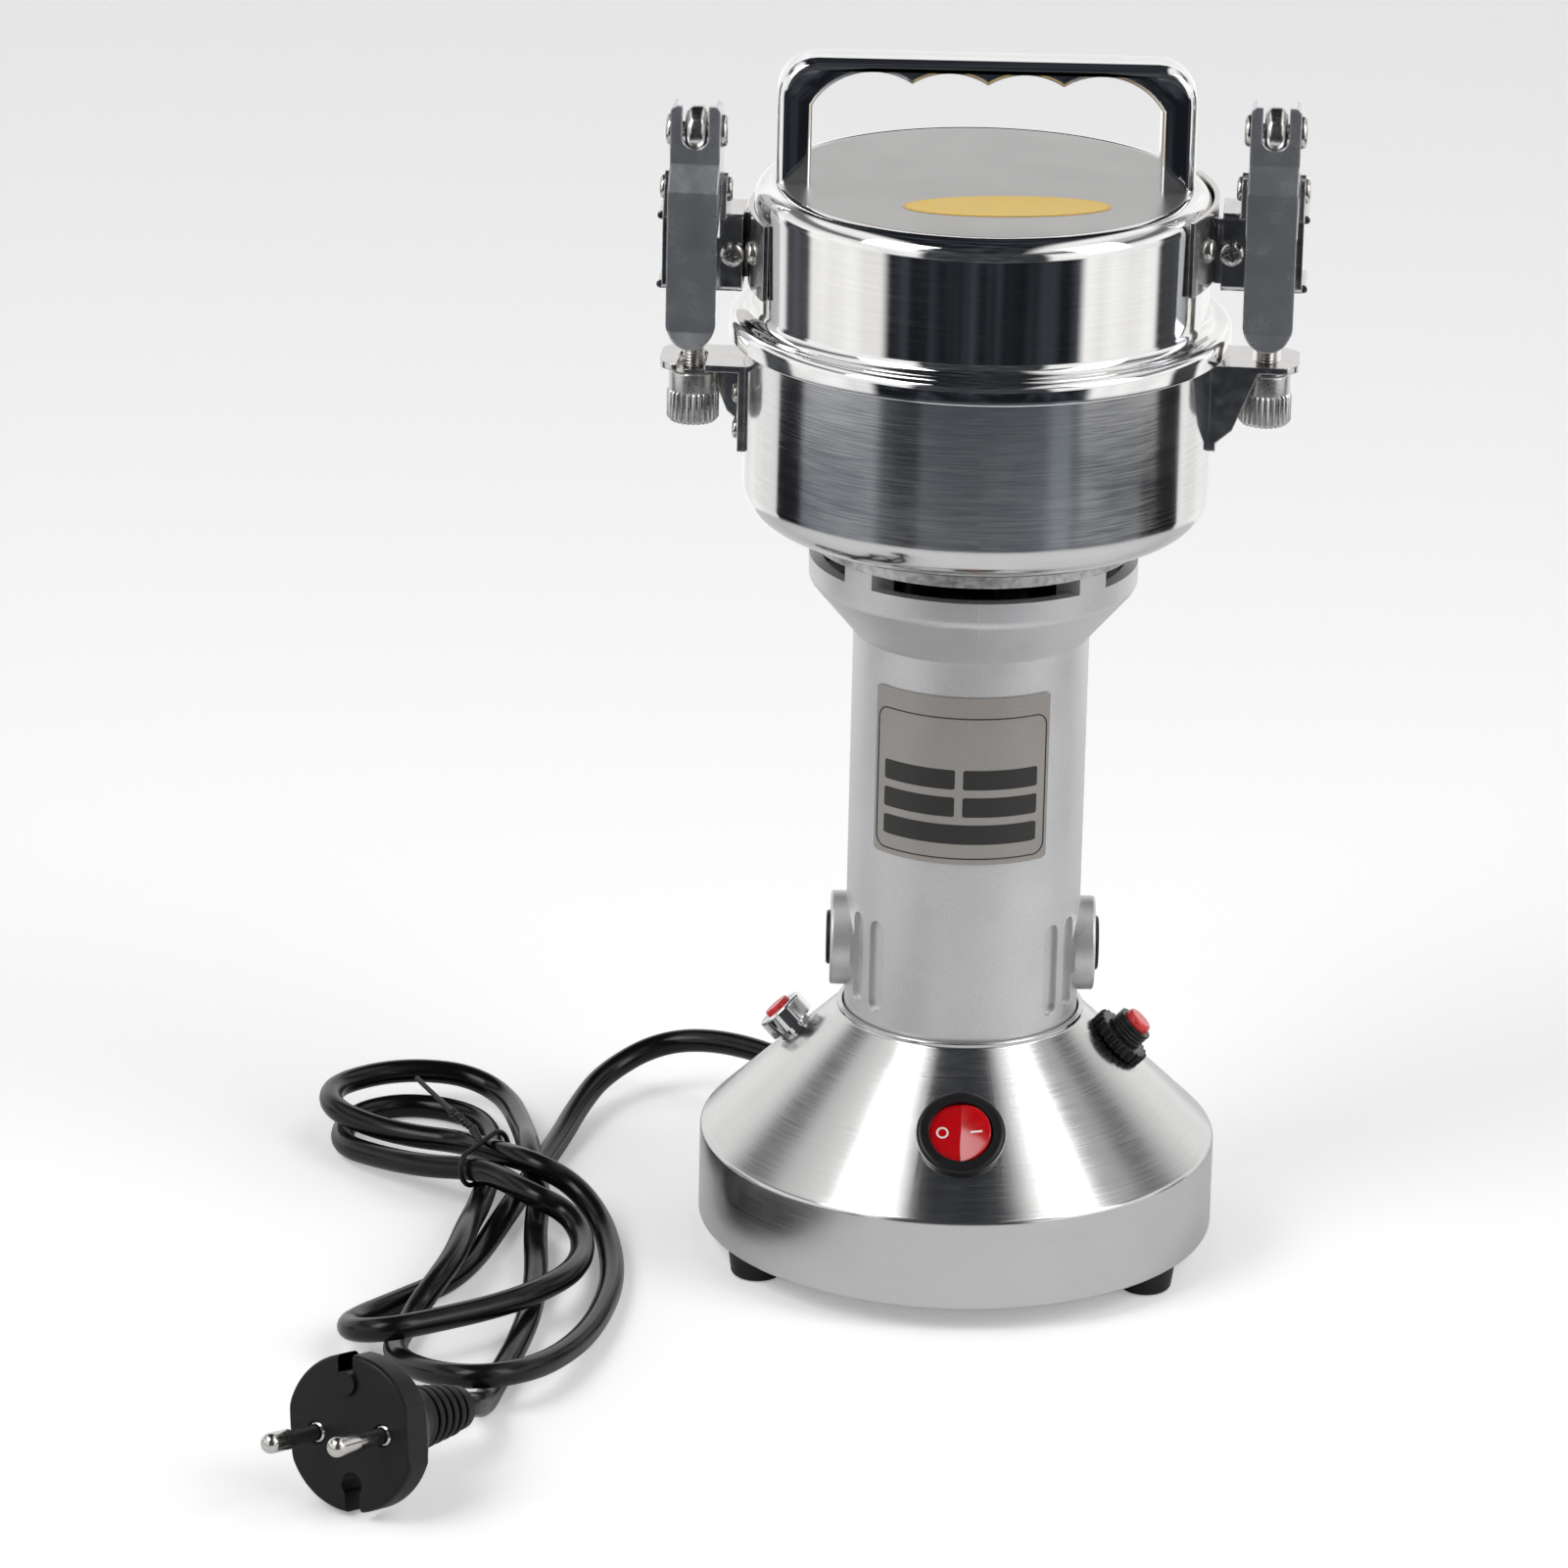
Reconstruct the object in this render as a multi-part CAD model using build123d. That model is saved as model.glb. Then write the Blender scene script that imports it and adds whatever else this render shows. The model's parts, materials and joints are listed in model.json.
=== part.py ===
"""Electric swing-type coffee grinder with a clamped lid, built as separate pieces.

Lengths are millimetres. +Z is up, the floor is z = 0 and the switch faces -Y.
"""

import math
import os

from build123d import *

os.makedirs("parts", exist_ok=True)

# Drawing helpers' own sizes
OVERRUN = 1.0
RUNNING_GAP = 0.05
DOME_SHARE = 0.8
LIP_SHARE = 0.45
BASE_ALIGN = (Align.CENTER, Align.CENTER, Align.MIN)

# Base: a spun cone with an upright rim
SHEET = 1.2
RIM_R = 63.85
RIM_LOW = 6.4
SHOULDER_Z = 29.2
NECK_R = 30.4
NECK_Z = 61.4
NECK_LIP_Z = 62.6
BASE_FLANGE_R = RIM_R - 11.85
SHOULDER_ROUND = 1.8
RIM_ROUND = 0.8
CONE_RISE = (NECK_Z - SHOULDER_Z) / (RIM_R - NECK_R)
CONE_TILT = math.degrees(math.atan(CONE_RISE))
CONE_DROP = SHEET * math.sqrt(1 + CONE_RISE ** 2)
UNDER_CONE_SHARE = 1.5

# Base plate, feet and their screws
PLATE_T = 1.2
PLATE_GAP = 0.1
FOOT_AZIMUTHS = (90.0, 210.0, 326.0)
FOOT_RING_R = RIM_R - 7.45
FOOT_TOP_R = 7.2
FOOT_LOW_R = 6.3
FOOT_ROUND = 1.6
FOOT_RECESS_R = 3.6
FOOT_RECESS_H = 2.6
FOOT_SCREW_R = 1.8
FOOT_HEAD_R = 3.2
FOOT_HEAD_H = 1.6
FOOT_BOSS_R = 4.0
FOOT_BOSS_H = 6.0

# Motor column
COLUMN_R = 28.8
BORE_R = 25.0
LOWER_BORE_R = 24.2
STATOR_LOW = 104.0
STATOR_HIGH = 152.0
SKIRT_Z = 54.0
FLOOR_LOW = 58.0
FLOOR_HIGH = 62.0
COLLAR_LOW = 159.8
COLLAR_R = 40.0
COLLAR_ROUND = 3.0
BAND_LOW = 173.0
BAND_HIGH = 178.8
WINDOW_HIGH = 182.7
BRACKET_HIGH = 188.5
CHAMBER_LOW = 158.0
CHAMBER_HIGH = 172.5
CHAMBER_R = 36.8
POST_AZIMUTHS = (45.0, 135.0, 225.0, 315.0)
POST_IN_R = 32.0
POST_W = 9.0
POST_LOW = 166.0
LEG_AZIMUTHS = (90.0, 210.0, 330.0)
LEG_R = 34.0
LEG_END_R = 39.0
LEG_W = 11.0
LEG_LOW = 46.5
STUD_R = 2.0
STUD_LOW = 40.0
STUD_HOLE_R = 2.15
STUD_NUT_FLATS = 7.0
STUD_NUT_H = 3.2
VENT_RING_R = 19.0
VENT_R = 2.6
VENT_COUNT = 6

# Brush bosses on the column and the shallow slots beside them
BRUSH_Z = 78.5
BOSS_R = 11.6
BOSS_FACE = 32.6
CAP_R = 6.7
CAP_IN = 30.6
CAP_OUT = 33.6
HOLDER_R = 5.2
HOLDER_TUBE_R = 3.9
HOLDER_IN = 13.0
BRUSH_IN = 10.05
BRUSH_OUT = 24.0
BRUSH_R = 3.8
SLOT_AZIMUTHS = (-153.5, -138.0, -42.0, -26.5)
SLOT_W = 4.8
SLOT_LOW = 66.4
SLOT_HIGH = 89.9
SLOT_DEPTH = 1.3

# Bearings and rotor
LOWER_BEARING_R = 11.0
LOWER_BEARING_LOW = 62.2
LOWER_BEARING_HIGH = 69.2
UPPER_BEARING_R = 13.0
UPPER_BEARING_LOW = 176.0
UPPER_BEARING_HIGH = 184.0
BEARING_BOSS_WALL = 3.0
SHAFT_LOW = 60.0
SHAFT_STEP = 69.2
SHAFT_TOP_STEP = 207.5
SHAFT_TOP = 214.5
SHAFT_THIN_R = 4.0
SHAFT_R = 5.0
SHAFT_HOLE_R = 6.2
CORE_R = 14.4
CORE_LOW = 106.0
CORE_HIGH = 150.0
COIL_R = 12.8
COIL_LOW = 96.0
COIL_HIGH = 159.0
COMMUTATOR_R = 10.0
COMMUTATOR_LOW = 71.0
COMMUTATOR_HIGH = 87.0
RISER_R = 11.8
RISER_HIGH = 89.5
NECK_COIL_R = 7.5
COIL_ROUND = 3.2
STATOR_IN_R = 15.0
WINDING_IN_R = 16.0
WINDING_OUT_R = 23.6
WINDING_H = 7.5
WINDING_GAP = 0.1
WINDING_ROUND = 2.5
FAN_HUB_R = 9.0
FAN_HUB_LOW = 164.0
FAN_DISC_LOW = 172.8
FAN_DISC_T = 1.2
FAN_R = 31.0
FAN_VANE_IN = 17.6
FAN_VANE_T = 1.2
FAN_VANE_TOP = 181.4
FAN_VANES = 9
SEAL_BOSS_R = 12.0
SEAL_BOSS_TOP = 193.0
SEAL_R = 9.0
SEAL_TOP = 192.6
BRACKET_BOSS_R = 16.0
BRACKET_SCREW_RING = 36.0
M3_R = 1.5
M3_HEAD_R = 3.0
M3_HEAD_LOW = 185.7
M3_HEAD_HIGH = 188.3
M3_LOW = 172.0

# Blades, which clear the bowl's wall
BOWL_R = 56.6
BLADE_LOW_R = BOWL_R - 6.6
BLADE_HIGH_R = BOWL_R - 13.6
TIP_FLAT_R = BOWL_R - 20.6
BLADE_LOW_AZIMUTH = 20.0
BLADE_HIGH_AZIMUTH = 110.0
HUB_R = 8.5
HUB_LOW = 193.6
BLADE_T = 2.0
BLADE_W = 15.0
BLADE_LOW_Z = 195.6
BLADE_HIGH_Z = 203.5
BLADE_TIP_W = 9.0
TIP_RISE = 25.0
BLADE_NUT_FLATS = 13.0
BLADE_NUT_H = 8.0
BLADE_DOME_R = 5.2

# Bowl
BOWL_T = 1.3
BOWL_ROUND = 9.0
BOWL_LOW = 188.5
BOWL_TOP = 236.0
BOWL_FLANGE_R = BOWL_R + 2.3
BOWL_FLANGE_T = 1.2
BOWL_SCREW_RING = 24.0
BOWL_SCREW_COUNT = 3
M4_R = 2.0
M4_HEAD_R = 3.8
M4_HEAD_H = 2.0
BOWL_SCREW_LOW = 183.4

# Lid
LID_T = 1.3
LID_TOP = 272.0
LID_R = BOWL_R - 1.6
LID_FOOT_R = BOWL_R - 2.0
LID_ROUND = 5.5
FLARE_Z = 239.5
FLARE_ROUND = 3.0
FLANGE_R = BOWL_R + 3.8
FLANGE_ROUND = 2.2
FLANGE_LOW = 234.0
GASKET_IN = BOWL_R - 1.0
GASKET_GAP = 0.05

# Handle
HANDLE_HALF = LID_R - 5.0
HANDLE_LEG = 8.4
HANDLE_TOP = 302.7
HANDLE_CORNER = 9.5
HANDLE_DEPTH = 13.0
HANDLE_EDGE = 2.2
GRIP_FOOT_Z = 291.5
GRIP_CREST_Z = 299.7
GRIP_RIDGE_Z = 297.0
GRIP_RIDGE_X = HANDLE_HALF - 32.0
GRIP_END_X = HANDLE_HALF - 21.5
HANDLE_SCREW_H = 14.0

# Clamps: radial distance of the lever from the axis, and how high each side was fitted
CLAMP_R = BOWL_R + 12.4
CLAMP_TURN = -4.0
PIVOT_Z = 270.3
EAR_TOP_Z = 228.6
CLAMP_RISE = {"right": 2.6, "left": -2.6}
ROD_Y = -0.8
ROD_R = 2.7
EYE_RISE = 14.5
EYE_R = 6.0
EYE_W = 5.6
EYE_ROUND = 1.8
EYE_PIN_R = 2.0
EYE_HEAD_R = 4.0
EYE_HEAD_T = 1.5
LEVER_W = 12.0
LEVER_T = 1.2
WEB_T = 1.5
LEVER_TOP = 21.8
WEB_HIGH_Y = -7.5
WEB_LOW_Y = -12.6
BEND_HIGH_Z = 7.6
BEND_LOW_Z = 2.0
LEVER_LOW = -36.4
LIP_Z = -32.5
LIP_OUT = 2.2
CHEEK_BACK = 4.5
FORK_W = 6.3
FORK_ROUND = 1.4
PIVOT_R = 1.8
PIVOT_HEAD_R = 3.0
PIVOT_HEAD_T = 1.2
PIVOT_PEEN_R = 2.7
PIVOT_PEEN_T = 0.6

# Clamp bases: two side plates, a front strap and a box that takes the screw
BOX_IN = -11.7
PLATE_IN = 6.1
SIDE_T = 1.5
BASE_FRONT = -6.2
BASE_BACK = 10.0
BASE_LOW = -24.0
BASE_HIGH = -4.9
STRAP_HIGH = -10.6
LUG_R = 4.0
BASE_ROUND = 1.4
LIP_LONG = 2.9
LIP_T = 2.0
SCREW_OFFSET = -9.4
SCREW_Z = -14.4
SCREW_R = 1.6
SCREW_HEAD_R = 3.1
SCREW_HEAD_T = 2.0
SCREW_END = 4.0

# Saddles riveted to the lid
SADDLE_T = 1.2
SADDLE_HALF = 25.0
SADDLE_LOW = -21.0
SADDLE_HIGH = -2.5
TONGUE_T = 2.0
SADDLE_RIVET_TURN = 14.0
RIVET_R = 1.5
RIVET_HEAD_R = 2.6
RIVET_HEAD_T = 1.2
RIVET_INNER_T = 0.6

# Bowl brackets
BRACKET_T = 1.6
BRACKET_HALF = 9.0
BRACKET_FALL = 21.3
EAR_OUT = CLAMP_R + 7.9
EAR_ROUND = 5.0
EAR_SLOT_W = 6.8
EAR_SLOT_END = -4.9
GUSSET_TOP = CLAMP_R - 1.4
GUSSET_MID = CLAMP_R - 7.6
GUSSET_FALL = 16.0
GUSSET_END = 21.5
BRACKET_RIVET_FALLS = (9.0, 18.0)
BRACKET_RIVET_R = 1.6

# Washers and knurled nuts
NUT_GAP = 0.4
WASHER_R = 5.6
WASHER_T = 1.0
NUT_COLLAR_R = 5.9
NUT_COLLAR_H = 4.8
NUT_R = 6.35
NUT_H = 13.0
NUT_FLUTES = 22
NUT_FLUTE_R = 0.5
NUT_FLUTE_OUT = 0.17
ROD_END_RISE = 1.5

# Controls on the cone
ROCKER_RADIUS_AT = NECK_R + 0.4963 * (RIM_R - NECK_R)
BEZEL_R = 10.9
BEZEL_H = 2.2
BEZEL_ROUND = 1.2
SWITCH_BODY_R = 10.0
SWITCH_DEPTH = 14.0
ROCKER_WELL = 5.2
ROCKER_WELL_R = 7.85
ROCKER_BALL_R = 7.7
ROCKER_PIVOT = -1.0
ROCKER_LOW = -4.0
ROCKER_HIGH = 2.4
ROCKER_SLOPE = 8.0
TRUNNION_R = 0.9
TRUNNION_HOLE_R = 1.0
TRUNNION_LONG = 9.2
TRUNNION_HOLE_LONG = 9.4
JOG_AZIMUTH = 168.0
JOG_R_AT = NECK_R + 0.3229 * (RIM_R - NECK_R)
JOG_NECK_R = 4.6
JOG_NECK_H = 1.5
JOG_BEZEL_R = 6.2
JOG_BEZEL_TOP = 6.8
JOG_CAP_R = 3.4
JOG_CAP_TOP = 8.0
JOG_BORE_FLOOR = -4.0
JOG_BODY_R = 4.6
JOG_DEPTH = 16.0
JOG_CAP_FLOOR = -0.5
RESET_AZIMUTH = -3.0
RESET_R_AT = NECK_R + 0.2511 * (RIM_R - NECK_R)
RESET_NUT_R = 8.0
RESET_NUT_H = 3.0
RESET_BUSH_R = 4.8
RESET_BUSH_TOP = 7.0
RESET_CAP_R = 3.45
RESET_CAP_TOP = 8.9
RESET_BODY_R = 6.3
RESET_DEPTH = 12.0
RESET_BODY_TOP = -1.6
RESET_THREADS = 3
RESET_THREAD_OUT = 0.12
RESET_THREAD_R = 0.33
CAP_RUNNING = 0.08

# Rating plate left bare
LABEL_T = 0.3
LABEL_SEAT = 0.02
LABEL_CENTRE = -95.1
LABEL_HALF_ANGLE = 46.1
LABEL_LOW = 108.7
LABEL_HIGH = 151.3

# Mains cord, its gland, plug and tie
CORD_R = 3.0
GLAND_AZIMUTH = 120.0
GLAND_Z = 17.0
GLAND_R = 5.6
GLAND_HEAD_R = 7.5
GLAND_HEAD_T = 3.0
GLAND_IN = 8.0
GLAND_BOOT_R = 4.6
GLAND_BOOT_LONG = 9.0
CORD_SHARE = 0.45
APART_SHARE = 7.5
LOOP_SAMPLES = 100
CORD_LEAD = 11.2
CORD_ROUTE = (
    (-60.4, 86.4, 17.0), (-76.1, 91.0, 14.0),
    (-89.8, 80.7, 9.0), (-95.8, 67.2, 5.5), (-100.9, 45.9, 3.1),
    (-109.6, 9.4, 3.1), (-120.3, -40.4, 3.1), (-135.1, -57.7, 3.1),
    (-147.2, -74.8, 4.5), (-145.6, -88.5, 8.2), (-136.0, -94.6, 11.4),
    (-125.6, -86.6, 10.6), (-113.3, -77.1, 9.9), (-102.6, -67.5, 9.9),
    (-93.0, -48.5, 8.0), (-91.3, -23.9, 5.5), (-95.8, -12.6, 8.6),
    (-105.9, -11.6, 13.2), (-118.0, 6.8, 11.9), (-132.0, 14.4, 9.0),
    (-144.5, 26.9, 6.0), (-156.4, 41.4, 3.6), (-154.6, 61.5, 3.1),
    (-144.2, 70.3, 3.1), (-131.5, 69.7, 3.1), (-120.3, 61.5, 3.1),
    (-116.2, 42.0, 3.1), (-118.0, 4.7, 4.4), (-120.6, -28.5, 10.4),
    (-122.8, -45.5, 9.9), (-127.6, -60.7, 8.2), (-132.6, -69.0, 3.1),
    (-136.3, -88.7, 3.1), (-129.1, -106.7, 6.5), (-118.0, -119.1, 10.2),
    (-107.7, -117.8, 10.4), (-97.7, -103.7, 7.5), (-89.1, -79.3, 4.5),
    (-84.3, -49.9, 3.1), (-84.4, -28.4, 3.1), (-87.8, -7.5, 4.6),
    (-95.0, 2.6, 10.0), (-105.2, 4.0, 15.0), (-114.6, 14.8, 13.2),
    (-124.9, 29.2, 9.9), (-136.9, 32.3, 9.9), (-147.5, 37.6, 10.2),
    (-158.6, 47.8, 10.8), (-159.6, 64.6, 9.9), (-149.1, 74.8, 9.9),
    (-137.1, 78.3, 9.9), (-124.4, 78.5, 8.5), (-114.4, 71.5, 5.5),
    (-109.3, 45.0, 7.4), (-107.0, 22.0, 11.4), (-103.6, 3.4, 7.0),
    (-104.3, -12.0, 3.1), (-102.8, -38.7, 3.1), (-103.5, -64.3, 3.1),
    (-106.7, -87.7, 3.1), (-110.2, -104.8, 3.1), (-112.6, -120.0, 3.3),
)
PLUG_FACE = (-141.2, -174.0, 19.45)
PLUG_WAY = (0.560, 0.808, -0.185)
PLUG_ROLL = -12.1
PLUG_FACE_R = 18.4
PLUG_FLAT = 16.8
PLUG_RIM_T = 7.0
PLUG_DISC_T = 13.0
PLUG_SHOULDER_R = 13.5
PLUG_NECK_END = 22.0
PLUG_BOOT_R = 7.6
PLUG_BOOT_END_R = 5.4
PLUG_BOOT_END = 42.0
PLUG_NOTCH_W = 5.3
PLUG_NOTCH_H = 9.5
PLUG_ROUND = 1.2
PIN_SPACING = 19.0
PIN_R = 2.4
PIN_SLEEVE_R = 2.3
PIN_LONG = 19.0
PIN_ROOT = 6.0
RIB_COUNT = 4
RIB_PITCH = 3.6
RIB_W = 1.5
RIB_DEPTH = 1.0
TIE_R = 0.7
TIE_CENTRE = (-121.2, 15.0, 11.4)
TIE_ACROSS = (0.532, 0.838, 0.122)
TIE_ALONG = (-0.813, 0.545, -0.203)
TIE_HALF_W = 10.2
TIE_HALF_H = 4.2
TIE_ROUND = 4.1
TIE_TAIL = ((-124.2, 24.0, 16.2), (-129.2, 38.5, 14.6), (-137.0, 60.0, 14.2))
TIE_FORK = ((-124.2, 24.0, 16.2), (-129.4, 41.0, 13.6), (-133.4, 57.0, 12.4))


def column(radius, low, high, bore=None):
    """Make an upright cylinder between two heights, with an optional bore."""
    body = Pos(0, 0, low) * Cylinder(radius, high - low, align=BASE_ALIGN)
    if bore:
        body -= Pos(0, 0, low - OVERRUN) * Cylinder(bore, high - low + 2 * OVERRUN, align=BASE_ALIGN)
    return body


def spun(points):
    """Turn a closed outline of (radius, height) points about the Z axis."""
    return revolve(Plane.XZ * make_face(Polyline(*points, close=True)), Axis.Z)


def spun_rounded(points, radii):
    """Turn a solid under an outline that starts on the axis, with rounded corners."""
    edge = FilletPolyline(*points, radius=radii)
    last = points[-1]
    rest = Polyline(last, (0, last[1]), points[0])
    return revolve(Plane.XZ * make_face(edge + rest), Axis.Z)


def block(low, high):
    """Make a box between two opposite corners."""
    size = [b - a for a, b in zip(low, high)]
    middle = [(a + b) / 2 for a, b in zip(low, high)]
    return Pos(*middle) * Box(*size)


def around(shape, azimuths):
    """Copy a shape drawn at azimuth zero to each azimuth."""
    return [Rot(0, 0, turn) * shape for turn in azimuths]


def rod_x(radius, low, high):
    """Make a cylinder along X between two distances."""
    return Pos(low, 0, 0) * Rot(0, 90, 0) * Cylinder(radius, high - low, align=BASE_ALIGN)


def rod_y(radius, low, high):
    """Make a cylinder along Y between two distances."""
    return Pos(0, high, 0) * Rot(90, 0, 0) * Cylinder(radius, high - low, align=BASE_ALIGN)


def domed(radius, height):
    """Make a rivet or screw head on z = 0 with a rounded top edge."""
    head = Cylinder(radius, height, align=BASE_ALIGN)
    return fillet(head.edges().sort_by(Axis.Z)[-1], height * DOME_SHARE)


def save(name, shape):
    """Write one node, which is a solid or a group of like solids."""
    if isinstance(shape, list):
        shape = Compound(children=shape)
    export_step(shape, f"parts/{name}.step")


def cone_height(radius):
    """Height of the base cone's outside at a radius."""
    return SHOULDER_Z + (RIM_R - radius) * CONE_RISE


def on_cone(azimuth, radius):
    """Frame on the cone: Z along the outward normal and X up the slope's side."""
    return Rot(0, 0, azimuth) * Pos(radius, 0, cone_height(radius)) * Rot(0, CONE_TILT, 0)


ROCKER_FRAME = on_cone(-90, ROCKER_RADIUS_AT)
JOG_FRAME = on_cone(JOG_AZIMUTH, JOG_R_AT)
RESET_FRAME = on_cone(RESET_AZIMUTH, RESET_R_AT)
GLAND_FRAME = Rot(0, 0, GLAND_AZIMUTH) * Pos(RIM_R, 0, GLAND_Z) * Rot(0, 90, 0)


def make_base():
    """Base shell, plate, feet and screws."""
    inner_r = RIM_R - SHEET
    lip_r = NECK_R - SHEET
    floor = RIM_LOW + SHEET
    shell = spun([
        (BASE_FLANGE_R, RIM_LOW), (RIM_R, RIM_LOW), (RIM_R, SHOULDER_Z), (NECK_R, NECK_Z),
        (NECK_R, NECK_LIP_Z), (lip_r, NECK_LIP_Z), (lip_r, cone_height(lip_r) - CONE_DROP),
        (inner_r, cone_height(inner_r) - CONE_DROP), (inner_r, floor), (BASE_FLANGE_R, floor),
    ])
    rings = shell.edges().filter_by(GeomType.CIRCLE)
    shoulder = [e for e in rings if abs(e.radius - RIM_R) < RUNNING_GAP and e.center().Z > RIM_LOW + OVERRUN]
    shell = fillet(shoulder, SHOULDER_ROUND)
    rings = shell.edges().filter_by(GeomType.CIRCLE)
    rim = [e for e in rings if abs(e.radius - RIM_R) < RUNNING_GAP and e.center().Z < RIM_LOW + OVERRUN]
    shell = fillet(rim, RIM_ROUND)
    stud = Pos(LEG_R, 0, STUD_LOW) * Cylinder(STUD_R, cone_height(LEG_R) - CONE_DROP / 2 - STUD_LOW,
                                              align=BASE_ALIGN)
    for piece in around(stud, LEG_AZIMUTHS):
        shell += piece
    reach = SHEET + 2 * OVERRUN
    hole_low = Pos(0, 0, -reach)
    shell -= ROCKER_FRAME * hole_low * Cylinder(SWITCH_BODY_R, 2 * reach, align=BASE_ALIGN)
    shell -= JOG_FRAME * hole_low * Cylinder(JOG_BODY_R, 2 * reach, align=BASE_ALIGN)
    shell -= RESET_FRAME * hole_low * Cylinder(RESET_BUSH_R, 2 * reach, align=BASE_ALIGN)
    shell -= GLAND_FRAME * hole_low * Cylinder(GLAND_R, 2 * reach, align=BASE_ALIGN)
    foot_hole = Pos(FOOT_RING_R, 0, RIM_LOW - OVERRUN) * Cylinder(FOOT_SCREW_R, SHEET + 2 * OVERRUN,
                                                                 align=BASE_ALIGN)
    for piece in around(foot_hole, FOOT_AZIMUTHS):
        shell -= piece
    save("base_shell", shell)

    plate_r = inner_r - PLATE_GAP
    plate = column(plate_r, floor, floor + PLATE_T)
    boss = Pos(FOOT_RING_R, 0, floor + PLATE_T) * Cylinder(FOOT_BOSS_R, FOOT_BOSS_H, align=BASE_ALIGN)
    bore = Pos(FOOT_RING_R, 0, floor - OVERRUN) * Cylinder(
        FOOT_SCREW_R, PLATE_T + FOOT_BOSS_H + 2 * OVERRUN, align=BASE_ALIGN)
    for piece in around(boss, FOOT_AZIMUTHS):
        plate += piece
    for piece in around(bore, FOOT_AZIMUTHS):
        plate -= piece
    save("bottom_plate", plate)

    foot = Cone(FOOT_LOW_R, FOOT_TOP_R, RIM_LOW, align=BASE_ALIGN)
    foot = fillet(foot.edges().sort_by(Axis.Z)[0], FOOT_ROUND)
    foot -= Pos(0, 0, -OVERRUN) * Cylinder(FOOT_RECESS_R, FOOT_RECESS_H + OVERRUN, align=BASE_ALIGN)
    foot -= Pos(0, 0, -OVERRUN) * Cylinder(FOOT_SCREW_R, RIM_LOW + 2 * OVERRUN, align=BASE_ALIGN)
    save("rubber_feet", around(Pos(FOOT_RING_R, 0, 0) * foot, FOOT_AZIMUTHS))

    head_low = FOOT_RECESS_H - FOOT_HEAD_H
    screw_top = floor + PLATE_T + FOOT_BOSS_H
    screw = column(FOOT_HEAD_R, head_low, FOOT_RECESS_H) + column(FOOT_SCREW_R, FOOT_RECESS_H, screw_top)
    save("foot_screws", around(Pos(FOOT_RING_R, 0, 0) * screw, FOOT_AZIMUTHS))


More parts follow.
